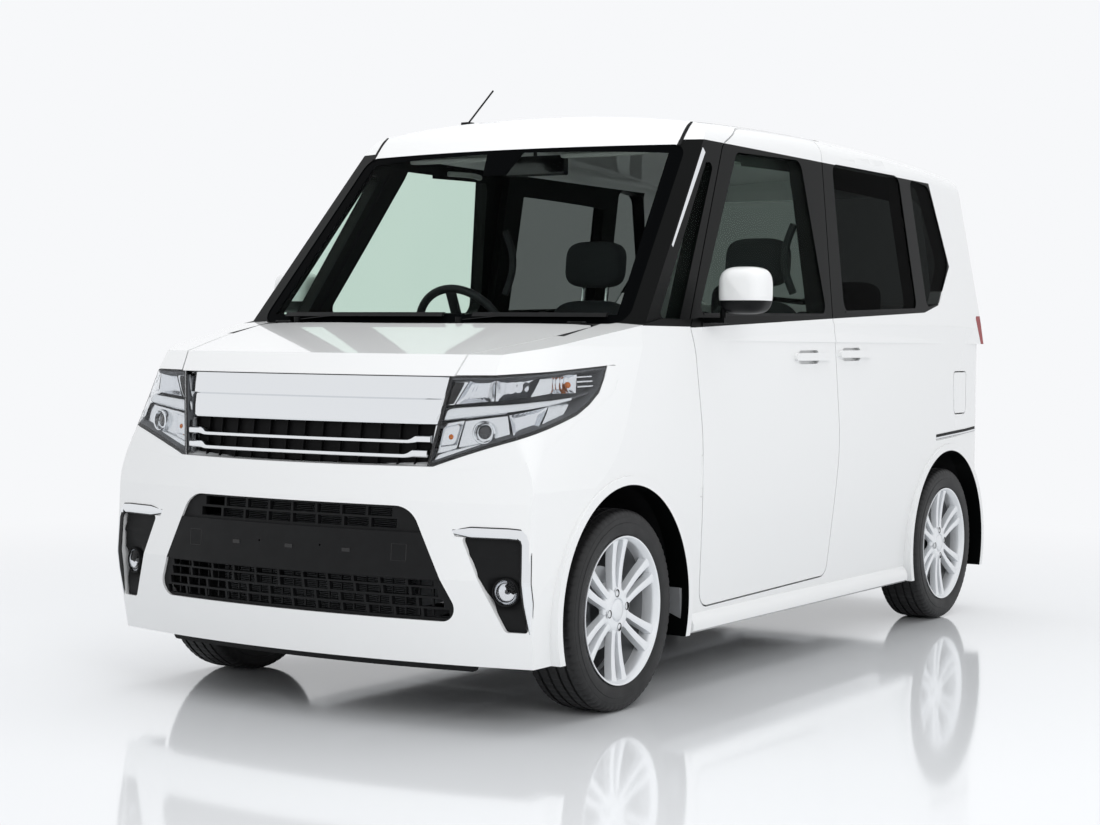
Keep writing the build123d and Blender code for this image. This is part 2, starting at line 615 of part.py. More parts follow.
def wheel_pieces():
    """The tyres and rims at the four corners, each in its own node."""
    shapes = {}
    rubber = tyre()
    for corner, side, axle, disc_width in (
            ("front_left", 1, FRONT_AXLE, 10), ("front_right", -1, FRONT_AXLE, 10),
            ("rear_left", 1, REAR_AXLE, 34), ("rear_right", -1, REAR_AXLE, 34)):
        place = Pos(HALF_TRACK, axle, TYRE_R)
        wheel = place * rim(disc_width)
        shapes[f"rim_{corner}"] = wheel if side > 0 else mirror(wheel, about=Plane.YZ)
        shapes[f"tyre_{corner}"] = Pos(side * HALF_TRACK, axle, TYRE_R) * rubber
    return shapes


def steer_frame(x, y, z):
    """A point given along the tilted left steering axis, from the wheel's centre height."""
    tilt = radians(STEER_TILT)
    return (STEER_X + x * cos(tilt) - z * sin(tilt), FRONT_AXLE + y, TYRE_R + x * sin(tilt) + z * cos(tilt))


def knuckle():
    """The left knuckle with its stub axle and brake caliper."""
    body = block((-16, 18), (-28, 28), (-KNUCKLE_DROP + 6, KNUCKLE_RISE - 6))
    place = Pos(STEER_X, FRONT_AXLE, TYRE_R) * Rot(0, -STEER_TILT, 0)
    body = place * body
    body += rod((STEER_X, FRONT_AXLE, TYRE_R), (STUB_END_X, FRONT_AXLE, TYRE_R), HUB_R)
    body += block((STEER_X, DISC_X[0] - 6), (FRONT_AXLE + 24, FRONT_AXLE + 100), (TYRE_R - 20, TYRE_R + 20))
    caliper = block((DISC_X[0] - 16, DISC_X[1] + 18), (FRONT_AXLE + 79, FRONT_AXLE + 134),
                    (TYRE_R - 42, TYRE_R + 42))
    caliper -= block((DISC_X[0] - 6, DISC_X[1] + 6), (FRONT_AXLE + 60, FRONT_AXLE + 124),
                     (TYRE_R - 60, TYRE_R + 60))
    body += caliper
    for low, high in ((-KNUCKLE_DROP, -KNUCKLE_DROP + 24), (KNUCKLE_RISE - 24, KNUCKLE_RISE)):
        body -= rod(steer_frame(0, 0, low), steer_frame(0, 0, high), 8 + RUNNING_GAP)
    return body


def front_suspension():
    """Subframe, lower arms, struts and springs of the front axle."""
    rails = block((250, 330), (FRONT_AXLE - 220, FRONT_AXLE + 180), (180, FLOOR_TOP - FLOOR_WALL))
    cross = block((0, 330), (FRONT_AXLE - 60, FRONT_AXLE + 60), (196, 246))
    half = rails + cross
    low = steer_frame(0, 0, -KNUCKLE_DROP - 10)
    half += block((300, low[0] + 16), (FRONT_AXLE - 24, FRONT_AXLE + 24), (low[2] - 8, low[2] + 6))
    half += rod(steer_frame(0, 0, -KNUCKLE_DROP - 8), steer_frame(0, 0, -KNUCKLE_DROP + 20), 8)
    struts = rod(steer_frame(0, 0, KNUCKLE_RISE - 20), steer_frame(0, 0, KNUCKLE_RISE + 12), 8)
    struts += rod(steer_frame(0, 0, KNUCKLE_RISE + 6), steer_frame(0, 0, 420), 20)
    struts += rod(steer_frame(0, 0, 305), steer_frame(0, 0, 440), 46)
    return mirrored(half), mirrored(struts)


def rear_suspension():
    """Torsion beam with its arms and stub axles, and the springs."""
    beam_y = REAR_AXLE - 190
    half = rod((0, beam_y, 250), (530, beam_y, 250), 36)
    half += block((500, 540), (KICK_Y + 30, REAR_AXLE + 30), (232, 296))
    half += rod((510, REAR_AXLE, TYRE_R), (STUB_END_X, REAR_AXLE, TYRE_R), HUB_R)
    half += block((400, 505), (REAR_AXLE - 240, REAR_AXLE - 140), (280, 292))
    springs = rod((450, REAR_AXLE - 190, 292), (450, REAR_AXLE - 190, REAR_FLOOR_Z), 42)
    return mirrored(half), mirrored(springs)


# ---------------------------------------------------------------- floor, engine bay and cabin
DASH_HALF = HALF_WIDTH - 119.5
WHEEL_CENTRE = (-350.0, -359.0, BELT - 31)
STEERING_WHEEL_R = 185.0
COLUMN_TILT = 25.0
MIRROR_Y = FRONT_AXLE + 467.5
MIRROR_PIN_X = HALF_WIDTH + 37.5
MIRROR_TIP_X = HALF_WIDTH + 180.5
MIRROR_Z = (1106.0, 1246.0)
FRONT_SEAT_X = 330.0
SEAT_WIDTH = 500.0
SEAT_FRONT_Y = -120.0
SEAT_Z = 420.0
SEAT_BACK_TOP = HEIGHT - 600
HEADREST = 245.0
BENCH_WIDTH = 970.0
REAR_SEAT_X = 260.0
FRAME_X = HALF_WIDTH - 237.5
MIDDLE_POST_Y = (REAR_AXLE - 1045.5, REAR_AXLE - 937.5)
SILL_X = (HALF_WIDTH - 137.5, HALF_WIDTH - 83.5)
INNER_SILL_Y = (FRONT_AXLE + 362.5, REAR_AXLE - 377.5)
REAR_FLOOR_Z = 400.0
KICK_Y = REAR_AXLE - 397.5
BULKHEAD_Y = FRONT_AXLE + 137.5
ENGINE_HALF = 300.0
ENGINE_Y = (FRONT_AXLE - 377.5, FRONT_AXLE + 32.5)
ENGINE_BOTTOM = 300.0
ENGINE_TOP = 800.0
RAIL_INNER_X = 318.0
EXHAUST_X = -200.0
EXHAUST_Z = 168.0
EXHAUST_R = 20.0
SILENCER_Y = (REAR_AXLE + 122.5, REAR_AXLE + 282.5)
SILENCER_TOP = 330.0


def floor_pan():
    """Cabin floor, kick-up, load floor and the front bulkhead."""
    floor = block((-600, 600), (BULKHEAD_Y - 30, KICK_Y + 30), (FLOOR_TOP - FLOOR_WALL, FLOOR_TOP))
    floor += block((-600, 600), (KICK_Y, KICK_Y + 30), (FLOOR_TOP - FLOOR_WALL, REAR_FLOOR_Z + 30))
    floor += block((-600, 600), (KICK_Y, REAR - 110), (REAR_FLOOR_Z, REAR_FLOOR_Z + 30))
    floor += block((-600, 600), (BULKHEAD_Y - 30, BULKHEAD_Y), (FLOOR_TOP - FLOOR_WALL, COWL_TOP - 50))
    for side in (1, -1):
        floor -= axle_cylinder(FRONT_AXLE, ARCH_R + 10, side * 390, side * WIDTH)
        floor -= axle_cylinder(REAR_AXLE, ARCH_R + 10, side * 490, side * WIDTH)
    return floor


def arch_liners(inner):
    """The wheelhouses over the four tyres, out to the inside of the panels."""
    half = None
    for axle, inner_x, foot in ((FRONT_AXLE, 392, 200), (REAR_AXLE, 492, 306)):
        ring = axle_cylinder(axle, ARCH_R + 8, inner_x, 700)
        ring -= axle_cylinder(axle, ARCH_R + 2, inner_x - 5, 700)
        ring &= block((0, WIDTH), (-LENGTH, LENGTH), (foot, 700))
        half = ring if half is None else half + ring
    half -= rod(steer_frame(0, 0, 290), steer_frame(0, 0, 460), 54)
    return mirrored(half & inner)


def body_rails():
    """Front rails, strut towers and sills that tie the shell to the floor."""
    half = block((RAIL_INNER_X, 384), (FRONT + 90, BULKHEAD_Y - 30), (430, 520))
    half += block((ENGINE_HALF + RUNNING_GAP, RAIL_INNER_X), (-1400, -1320), (440, 510))
    top = steer_frame(0, 0, 440)
    half += block((374, 384), (FRONT_AXLE - 90, FRONT_AXLE + 90), (430, top[2] + 10))
    half += block((374, 620), (FRONT_AXLE - 90, FRONT_AXLE + 90), (top[2] + 4, top[2] + 14))
    return mirrored(half)


def seat(x, width, y, cushion_z, back_top):
    """One seat: cushion, reclined back and head restraint on a base, from its front edge y."""
    half = width / 2
    head_low, head_high = back_top + 30, back_top + 200
    base = block((x - half + 60, x + half - 60), (y + 60, y + 380), (FLOOR_TOP, cushion_z))
    cushion = side_prism([(y, cushion_z, 30), (y, cushion_z + 130, 50), (y + 500, cushion_z + 110, 20),
                          (y + 500, cushion_z, 20)], x - half, x + half)
    back = side_prism([(y + 400, cushion_z + 100, 40), (y + 520, back_top, 50), (y + 630, back_top, 30),
                       (y + 540, cushion_z + 60, 20)], x - half + 10, x + half - 10)
    head = side_prism([(y + 515, head_low, 30), (y + 535, head_high, 40), (y + 610, head_high, 30),
                       (y + 615, head_low, 20)], x - HEADREST / 2, x + HEADREST / 2)
    made = base + cushion + back + head
    for post_x in (x - 50, x + 50):
        made += rod((post_x, y + 565, back_top - 20), (post_x, y + 565, back_top + 60), 7)
    return made


def rear_bench():
    """The rear seat in one: cushion, back and two head restraints."""
    y, z = KICK_Y + 5, REAR_FLOOR_Z + 30
    half = BENCH_WIDTH / 2
    bench = side_prism([(y, z, 20), (y, z + 130, 50), (y + 470, z + 110, 20), (y + 470, z, 20)], -half, half)
    bench += side_prism([(y + 380, z + 100, 30), (y + 480, z + 640, 50), (y + 570, z + 640, 30),
                         (y + 480, z, 20)], -half, half)
    for x in (-REAR_SEAT_X, REAR_SEAT_X):
        bench += side_prism([(y + 480, z + 620, 20), (y + 490, z + 800, 40), (y + 560, z + 800, 30),
                             (y + 570, z + 620, 20)], x - HEADREST / 2, x + HEADREST / 2)
    return bench


def dashboard():
    """The dash across the cabin, with the hood over the instruments."""
    rows = [(BULKHEAD_Y, 760, 0), (BULKHEAD_Y, 1030, 0), (-900, 1056, 30), (-690, 1040, 60), (-650, 900, 60),
            (-700, 720, 40), (-800, 640, 30)]
    dash = side_prism(rows, -DASH_HALF, DASH_HALF)
    dash += side_prism([(-860, 1030, 0), (-820, 1096, 30), (-690, 1090, 30), (-670, 1000, 20)], -520, -190)
    dash += side_prism([(-760, FLOOR_TOP, 0), (-760, 740, 0), (-620, 700, 30), (-420, 520, 40),
                        (-420, FLOOR_TOP, 0)], -90, 90)
    return dash


def along_column(distance):
    """A point on the steering column's axis, measured from the wheel towards the driver."""
    tilt = radians(COLUMN_TILT)
    return (WHEEL_CENTRE[0], WHEEL_CENTRE[1] + distance * cos(tilt), WHEEL_CENTRE[2] + distance * sin(tilt))


def steering_wheel():
    """Rim, three spokes and boss, bored for the column's spigot."""
    way = Vector(*along_column(1)) - Vector(*WHEEL_CENTRE)
    plane = Plane(origin=WHEEL_CENTRE, x_dir=(1, 0, 0), z_dir=way)
    reach = STEERING_WHEEL_R - 14
    ring = Torus(reach, 14)
    ring += Pos(0, 0, -4) * Cylinder(52, 44)
    for angle in (0, 180, 270):
        ring += (Pos(reach / 2, 0, -6) * Box(reach, 34, 12)).rotate(Axis.Z, angle)
    ring -= Pos(0, 0, -16) * Cylinder(11 + RUNNING_GAP, 24)
    return plane * ring


def steering_column():
    """The shrouded column from the dash to the wheel's spigot."""
    return rod(along_column(-360), along_column(-32), 42) + rod(along_column(-40), along_column(-4.3), 11)


def mirror_pieces():
    """The left door mirror's arm, fixed to the door, and its housing on the fold pin."""
    arm = block((700, 790), (MIRROR_Y - 22, MIRROR_Y + 22), (1080, 1096))
    arm += block((690, 724), (MIRROR_Y - 30, MIRROR_Y + 40), (1060, 1096))
    arm += rod((MIRROR_PIN_X, MIRROR_Y, 1096), (MIRROR_PIN_X, MIRROR_Y, 1124), 9)
    housing = plan_prism([(MIRROR_PIN_X - 16, MIRROR_Y - 40, 12), (MIRROR_TIP_X - 20, MIRROR_Y - 16, 30),
                          (MIRROR_TIP_X, MIRROR_Y + 54, 16), (MIRROR_PIN_X - 16, MIRROR_Y + 48, 10)],
                         *MIRROR_Z)
    low, high = MIRROR_Z
    housing &= front_prism([(MIRROR_PIN_X - 18, low, 22), (MIRROR_TIP_X, low, 50), (MIRROR_TIP_X, high, 46),
                            (MIRROR_PIN_X - 18, high, 40)], MIRROR_Y - 80, MIRROR_Y + 90)
    housing -= rod((MIRROR_PIN_X, MIRROR_Y, 1100), (MIRROR_PIN_X, MIRROR_Y, 1128), 9 + RUNNING_GAP)
    return arm, housing


# ---------------------------------------------------------------- wipers, antenna and inside mirror
# each wiper: blade from and to, the spindle's x, and where the arm meets the blade
WIPERS = [(-547, 85, -480, -215), (187, 600, 150, 390)]
WIPER_Z = (1092.0, 1104.0)
SPINDLE_R = 9.0
ANTENNA = (-290.0, -430.0)
ANTENNA_REACH = (148.0, 132.0)
INSIDE_MIRROR_Y = -470.0


def wipers():
    """Both wipers, resting just clear of the glass, and the cowl's holes for their spindles."""
    layer = greenhouse(-12, 0) - greenhouse(-3, 0)
    parts, holes = None, None
    for start, end, spindle, meet in WIPERS:
        blade = layer & block((start, end), (-LENGTH, 0), WIPER_Z)
        foot = BELT + 14
        arm = layer & front_prism([(spindle - 10, foot, 0), (meet - 20, WIPER_Z[1], 0),
                                   (meet + 20, WIPER_Z[1], 0), (spindle + 12, foot, 0)], -LENGTH, 0)
        y = screen_line(foot) + spindle ** 2 / (2 * SCREEN_ARC) - 17
        post = rod((spindle, y, COWL_TOP - 50), (spindle, y, COWL_TOP), SPINDLE_R)
        hole = rod((spindle, y, COWL_TOP - 60), (spindle, y, COWL_TOP + 10), SPINDLE_R + RUNNING_GAP)
        made = blade + arm + post
        parts = made if parts is None else parts + made
        holes = hole if holes is None else holes + hole
    return parts, holes


def antenna():
    """A raked mast on a foot that passes through the roof, and its hole."""
    x, y = ANTENNA
    top = roof_height(y) - x * x * tan(radians(CROWN_SLOPE)) / (2 * CROWN_SHARE * RAIL_X)
    foot = rod((x, y, top - 20), (x, y, top + 14), 8) + rod((x, y, top + 3), (x, y, top + 12), 22)
    back, up = ANTENNA_REACH
    mast = rod((x, y, top + 8), (x, y + back, top + up), 3)
    return foot + mast, rod((x, y, top - 60), (x, y, top + 60), 8 + RUNNING_GAP)


def roof_height(y):
    """The roof's height over the middle of the car."""
    return HEIGHT - (y - ROOF_APEX_Y) ** 2 / (2 * ROOF_ARC)


def inside_mirror():
    """The rear view mirror on its stem from the roof, and the stem's hole."""
    y = INSIDE_MIRROR_Y
    low = WINDOW_TOP - 52
    stem = rod((0, y, low), (0, y, roof_height(y) - 12), 6)
    glass = side_prism([(y - 14, low - 32, 8), (y - 14, low + 32, 8), (y + 14, low + 32, 8),
                        (y + 14, low - 32, 8)], -115, 115)
    return stem + glass, rod((0, y, low + 40), (0, y, roof_height(y) - 10), 6 + RUNNING_GAP)


# ---------------------------------------------------------------- hinge pins, plates and all sub-parts
PLATE_Z_FRONT = 470.0
PLATE_Z_REAR = 400.0
PLATE_SPACING = 210.0
DOOR_PIN_X = HALF_WIDTH - 10.5
DOOR_PIN_Y = FRONT_AXLE + 433.5
DOOR_PIN_Z = (572.0, 692.0)
BONNET_PIN_X = (500.0, 560.0)
BONNET_PIN_Y = BONNET_REAR + DOOR_GAP / 2
BONNET_PIN_Z = 1074.0
GATE_PIN_X = (60.0, 130.0)
GATE_PIN_Y = TAILGATE_FRONT - DOOR_GAP / 2
GATE_PIN_Z = HEIGHT - 36
FLAP_PIN_X = HALF_WIDTH - 10.5
FLAP_PIN_Y = REAR_AXLE + 52
FLAP_PIN_Z = (815.0, 870.0)
FILLER = (REAR_AXLE + 124.5, 843.0)


def exhaust():
    """Pipe from the engine to the silencer, with the hanger under the rear floor."""
    front_y = FRONT_AXLE - 107
    start, end = SILENCER_Y
    pipe = rod((EXHAUST_X, front_y, EXHAUST_Z), (EXHAUST_X, start + 20, EXHAUST_Z), EXHAUST_R)
    pipe += rod((EXHAUST_X, front_y, EXHAUST_Z), (EXHAUST_X, front_y, ENGINE_BOTTOM - RUNNING_GAP), EXHAUST_R)
    pipe += block((-300, 100), SILENCER_Y, (EXHAUST_Z - 8, SILENCER_TOP))
    middle = (start + end) / 2
    return pipe + rod((-100, middle, SILENCER_TOP), (-100, middle, REAR_FLOOR_Z - RUNNING_GAP), 8)


def all_pieces():
    """Every sub-part by node name."""
    nodes = wheel_pieces()
    left = knuckle()
    nodes["knuckle_left"] = left
    nodes["knuckle_right"] = mirror(left, about=Plane.YZ)
    nodes["front_subframe"], nodes["front_struts"] = front_suspension()
    nodes["rear_axle"], nodes["rear_springs"] = rear_suspension()
    nodes["floor_pan"] = floor_pan()
    nodes["body_rails"] = body_rails() - nodes["front_struts"]
    nodes["front_seats"] = mirrored(seat(FRONT_SEAT_X, SEAT_WIDTH, SEAT_FRONT_Y, SEAT_Z, SEAT_BACK_TOP))
    nodes["rear_seat"] = rear_bench()
    nodes["dashboard"] = dashboard()
    nodes["steering_column"] = steering_column() - nodes["dashboard"]
    nodes["steering_wheel"] = steering_wheel()
    nodes["engine"] = block((-ENGINE_HALF, ENGINE_HALF), ENGINE_Y, (ENGINE_BOTTOM, ENGINE_TOP))
    nodes["radiator"] = block((-318, 318), (FRONT + 112, FRONT + 152), (250, 640))
    nodes["fuel_tank"] = block((-140, 400), (400, KICK_Y - 20), (SILL_BOTTOM + 2, FLOOR_TOP - FLOOR_WALL))
    nodes["exhaust"] = exhaust()

    panels, inner = shell_pieces()
    nodes["arch_liners"] = arch_liners(inner) - nodes["floor_pan"] - nodes["body_rails"]
    for name in ("windscreen", "headlamps", "upper_grille", "tail_lamps", "tailgate_glass", "fog_lamps",
                 "front_lip"):
        nodes[name] = panels[name]
    nodes["fixed_glass"] = mirrored(panels["fixed_glass"])
    nodes["slide_door_glass"] = mirrored(panels["slide_glass"])
    nodes["slide_door_left"] = panels["slide_door"]
    nodes["slide_door_right"] = mirror(panels["slide_door"], about=Plane.YZ)

    # bumpers, and the plate's screw holes
    nodes["front_bumper"] = panels["front_bumper"]
    nodes["lower_grille"] = panels["lower_grille"] - plate_holes(FRONT, PLATE_Z_FRONT)
    nodes["rear_bumper"] = panels["rear_bumper"] - plate_holes(REAR, PLATE_Z_REAR)

    # front doors on their hinges
    low, high = DOOR_PIN_Z
    fixed, moving = hinge((DOOR_PIN_X, DOOR_PIN_Y, low), (DOOR_PIN_X, DOOR_PIN_Y, high),
                          (-9, -14, 0), (-9, 18, 0))
    notch = rod((DOOR_PIN_X, DOOR_PIN_Y, low - 2), (DOOR_PIN_X, DOOR_PIN_Y, high + 2), HINGE_R + NOTCH)
    arm, housing = mirror_pieces()
    door = panels["door"] - notch + moving + arm
    half_fender = panels["fenders"] & block((0, WIDTH), (-LENGTH, LENGTH), (0, 2000))
    pocket = block((DOOR_PIN_X - 13, HALF_WIDTH + 3), (DOOR_PIN_Y - 1, DOOR_PIN_Y + 8), (low + 22, high - 22))
    nodes["fenders"] = mirrored(half_fender - notch - pocket + fixed)
    for side, flip in (("left", False), ("right", True)):
        for name, shape in (("door", door), ("door_glass", panels["door_glass"]), ("mirror", housing)):
            nodes[f"{name}_{side}"] = mirror(shape, about=Plane.YZ) if flip else shape

    # bonnet on two rear hinges
    bonnet, cowl = panels["bonnet"], panels["cowl"]
    low, high = BONNET_PIN_X
    fixed, moving = hinge((low, BONNET_PIN_Y, BONNET_PIN_Z), (high, BONNET_PIN_Y, BONNET_PIN_Z),
                          (0, 6, -16), (0, -16, -12))
    notch = rod((low - 2, BONNET_PIN_Y, BONNET_PIN_Z), (high + 2, BONNET_PIN_Y, BONNET_PIN_Z),
                HINGE_R + NOTCH)
    nodes["bonnet"] = bonnet - mirrored(notch) + mirrored(moving)
    pocket = block((low + 10, high - 10), (BONNET_REAR - 14, BONNET_PIN_Y), (BONNET_PIN_Z - 24, COWL_TOP))
    nodes["wipers"], posts = wipers()
    nodes["cowl"] = cowl - mirrored(notch + pocket) + mirrored(fixed) - posts
    nodes["windscreen"] -= posts

    # tailgate on two roof hinges
    low, high = GATE_PIN_X
    fixed, moving = hinge((low, GATE_PIN_Y, GATE_PIN_Z), (high, GATE_PIN_Y, GATE_PIN_Z),
                          (0, -12, -8), (0, 12, -8))
    notch = rod((low - 2, GATE_PIN_Y, GATE_PIN_Z), (high + 2, GATE_PIN_Y, GATE_PIN_Z), HINGE_R + NOTCH)
    nodes["tailgate"] = panels["tailgate"] - mirrored(notch) + mirrored(moving)
    nodes["antenna"], antenna_hole = antenna()
    nodes["inside_mirror"], mirror_hole = inside_mirror()
    nodes["roof"] = panels["roof"] - mirrored(notch) + mirrored(fixed) - antenna_hole - mirror_hole

    # the two sides, with the fuel flap on the left
    low, high = FLAP_PIN_Z
    fixed, moving = hinge((FLAP_PIN_X, FLAP_PIN_Y, low), (FLAP_PIN_X, FLAP_PIN_Y, high),
                          (-8, -10, 0), (-2, 12, 0))
    notch = rod((FLAP_PIN_X, FLAP_PIN_Y, low - 2), (FLAP_PIN_X, FLAP_PIN_Y, high + 2), HINGE_R + NOTCH)
    whole = panels["sides"]
    left_half = block((0, WIDTH), (-LENGTH, LENGTH), (0, 2000))
    side = whole & left_half
    y, z = FILLER
    filler = rod((FLAP_POCKET_X - 34, y, z), (FLAP_POCKET_X + 18, y, z), 30)
    nodes["side_left"] = side + inner_frame(inner) - notch + fixed + filler
    plain = whole & mirror(left_half, about=Plane.YZ)
    nodes["side_right"] = plain + mirror(inner_frame(inner), about=Plane.YZ)
    nodes["fuel_lid"] = panels["fuel_lid"] - notch + moving
    return nodes


def plate_holes(y, z):
    """Two screw holes for a number plate, right through a bumper."""
    holes = None
    for x in (-PLATE_SPACING / 2, PLATE_SPACING / 2):
        hole = rod((x, y - 90, z), (x, y + 90, z), 3)
        holes = hole if holes is None else holes + hole
    return holes


def inner_frame(inner):
    """The pillar behind the shut line of the side doors, and the inner sill."""
    post = block((FRAME_X, WIDTH), MIDDLE_POST_Y, (FLOOR_TOP, HEIGHT - 60))
    frame = (inner.moved(Location((-DOOR_GAP, 0, 0))) - inner.moved(Location((-36, 0, 0)))) & post
    frame += inner & block((SILL_X[0], WIDTH), INNER_SILL_Y, (SILL_BOTTOM, 236))
    frame += block(SILL_X, INNER_SILL_Y, (SILL_BOTTOM, FLOOR_TOP))
    return frame


if __name__ == "__main__":
    os.makedirs("parts", exist_ok=True)
    for name, shape in all_pieces().items():
        write(name, shape)
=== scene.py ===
"""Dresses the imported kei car: paint, glass, lamps, grilles, wheels, trim and cabin.

Metres, in the CAD frame: X to the car's left, Y to its rear, Z up, floor at 0.
The tables and surface functions are in millimetres, and piece() turns them into metres.
"""

import bmesh
import bpy
import numpy as np
from mathutils import Matrix, Vector


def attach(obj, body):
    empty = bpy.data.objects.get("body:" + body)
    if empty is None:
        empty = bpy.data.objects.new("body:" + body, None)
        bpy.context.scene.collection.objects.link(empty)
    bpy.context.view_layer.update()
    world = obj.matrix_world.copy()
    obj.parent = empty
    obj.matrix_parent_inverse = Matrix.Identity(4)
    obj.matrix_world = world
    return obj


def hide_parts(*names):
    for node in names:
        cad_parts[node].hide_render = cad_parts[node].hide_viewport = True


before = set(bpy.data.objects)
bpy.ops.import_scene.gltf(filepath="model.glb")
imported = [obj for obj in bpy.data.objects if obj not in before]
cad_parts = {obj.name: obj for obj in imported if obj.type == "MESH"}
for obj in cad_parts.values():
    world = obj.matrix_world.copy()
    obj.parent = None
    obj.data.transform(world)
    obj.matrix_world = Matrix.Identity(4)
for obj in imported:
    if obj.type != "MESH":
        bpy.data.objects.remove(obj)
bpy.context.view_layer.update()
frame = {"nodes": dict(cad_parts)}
nodes = frame["nodes"]

WHITE = "#eceded"
BACKDROP = "#f7f8fa"
# the body skin, in millimetres; Y runs from the nose to the tail
FRONT, FRONT_AXLE, REAR_AXLE, HALF_TRACK, TYRE_R = -1697.5, -1122.5, 1277.5, 640.0, 281.0
# the arches' inward faces lie 347 mm from the axles, and the black painted shade on them reaches 1.2 mm past
# them
ARCH_FACE_R = 348.2
# where black starts on white panels: under the mirror's split and behind the bonnet's hinge line
SHELL_SPLIT, HINGE_LINE = 1146.0, -1090.0
# the dark band round the side windows, side view corners (y, z) given anticlockwise
DARK_BAND = [
    (-1040, 1066), (-731, 1066), (1075, 1140), (1222, 1170), (1382, 1319), (1267, 1626), (-640, 1634)]


# ---- shader nodes
def linear(colour):
    """An sRGB hex colour as linear RGBA."""
    rgb = np.array([int(colour[i:i + 2], 16) for i in (1, 3, 5)]) / 255.0
    return (*np.where(rgb <= 0.04045, rgb / 12.92, ((rgb + 0.055) / 1.055) ** 2.4), 1.0)


def add(tree, kind, settings=()):
    """Adds one node: each setting is a value or socket that feeds an input, its number, or a property."""
    made = tree.nodes.new(kind)
    for name, setting in dict(settings).items():
        if isinstance(setting, Value):
            setting = setting.socket
        if isinstance(setting, bpy.types.NodeSocket):
            tree.links.new(setting, made.inputs[name])
        elif isinstance(name, int) or name in made.inputs:
            made.inputs[name].default_value = setting
        else:
            setattr(made, name, setting)
    return made


class Value:
    """A socket to reckon with: each operation adds one math node and gives the next value."""

    def __init__(self, tree, socket):
        self.tree = tree
        self.socket = socket

    def through(self, operation, other=0.0):
        """This value and another, or a number, through one math node."""
        made = add(self.tree, "ShaderNodeMath", {"operation": operation, 0: self, 1: other})
        return Value(self.tree, made.outputs[0])

    def __add__(self, other):
        return self.through("ADD", other)

    def __sub__(self, other):
        return self.through("SUBTRACT", other)

    def __mul__(self, other):
        return self.through("MULTIPLY", other)


class Skin:
    """A material while it is dressed: its nodes, its Principled shader and the place on the object."""

    def __init__(self, name, settings):
        self.material = bpy.data.materials.new(name)
        self.material.use_nodes = True
        self.tree = self.material.node_tree
        self.shader = self.tree.nodes["Principled BSDF"]
        self.place = add(self.tree, "ShaderNodeTexCoord").outputs["Object"]
        for socket, value in settings.items():
            self.shader.inputs[socket].default_value = linear(value) if isinstance(value, str) else value

    def coordinates(self):
        """X, Y and Z of the place, in metres."""
        parts = add(self.tree, "ShaderNodeSeparateXYZ", {"Vector": self.place})
        return [Value(self.tree, part) for part in parts.outputs]

    def noise(self, size, detail=2.0):
        """Noise whose lumps are about size metres across."""
        settings = {"Vector": self.place, "Scale": 1.0 / size, "Detail": detail}
        made = add(self.tree, "ShaderNodeTexNoise", settings)
        return Value(self.tree, made.outputs["Fac"])

    def wave(self, scale, way):
        """Even bands across one axis."""
        settings = {"Vector": self.place, "Scale": scale, "bands_direction": way}
        made = add(self.tree, "ShaderNodeTexWave", settings)
        return Value(self.tree, made.outputs["Fac"])

    def bump(self, height, depth, strength=1.0, into="Normal"):
        """Relief from a height; depth is in metres."""
        made = add(self.tree, "ShaderNodeBump", {"Height": height, "Distance": depth, "Strength": strength})
        self.tree.links.new(made.outputs["Normal"], self.shader.inputs[into])

    def vary(self, factor, socket, low, high):
        """One shader input between two values, by a factor from 0 to 1."""
        made = add(self.tree, "ShaderNodeMapRange", {"Value": factor, "To Min": low, "To Max": high})
        self.tree.links.new(made.outputs["Result"], self.shader.inputs[socket])

    def tint(self, factor, first, second):
        """Base colour between two hex colours, by a factor; 6 and 7 are the node's two colour inputs."""
        made = add(self.tree, "ShaderNodeMix",
                   {"data_type": "RGBA", "Factor": factor, 6: linear(first), 7: linear(second)})
        self.tree.links.new(made.outputs[2], self.shader.inputs["Base Color"])


def material(name, settings, dress):
    """A Principled material; dress(skin) adds its texture nodes."""
    skin = Skin(name, settings)
    dress(skin)
    return skin.material


# ---- finishes
def moulded(depth=0.0002, size=0.0012, first="#0b0b0c", second="#121314"):
    """The fine leather-like grain of moulded plastic."""
    def dress(skin):
        """Cell grain in the relief, with a mottle in colour and sheen."""
        grain = add(skin.tree, "ShaderNodeTexVoronoi", {"Vector": skin.place, "Scale": 1.0 / size})
        skin.bump(grain.outputs["Distance"], depth)
        skin.tint(skin.noise(0.03), first, second)
        skin.vary(skin.noise(0.05), "Roughness", 0.5, 0.66)
    return dress


def polished(low, high):
    """A polished or plated skin whose sheen wanders between two roughnesses over a hand's breadth."""
    return lambda skin: skin.vary(skin.noise(0.08), "Roughness", low, high)


def smoked(dark, clear):
    """Tinted glass whose tint breathes very slightly across the pane."""
    return lambda skin: skin.tint(skin.noise(0.5), dark, clear)


def cast_sparkle(skin):
    """Silver wheel lacquer: fine flake in the colour and a slight ripple."""
    skin.tint(skin.noise(0.0008, 0.0), "#e0e3e6", "#f2f4f6")
    skin.bump(skin.noise(0.01), 0.0002, 0.2)


def cloth(skin):
    """Woven seat cloth: threads 1.2 mm apart both ways, with a soft mottle."""
    skin.bump(skin.wave(260.0, "X") * skin.wave(260.0, "Z"), 0.0006)
    skin.tint(skin.noise(0.004), "#232427", "#34363a")


def rubber(skin):
    """Tyre rubber: faint mould flow and bloom."""
    skin.tint(skin.noise(0.02), "#101011", "#181819")
    skin.bump(skin.noise(0.0015), 0.0002)
    skin.vary(skin.noise(0.04), "Roughness", 0.5, 0.68)


def brushed_cast(skin):
    """Sand-cast metal: 2 mm grain with darker hollows."""
    grain = skin.noise(0.002)
    skin.bump(grain, 0.0006)
    skin.tint(grain, "#5c5e60", "#8a8c8e")


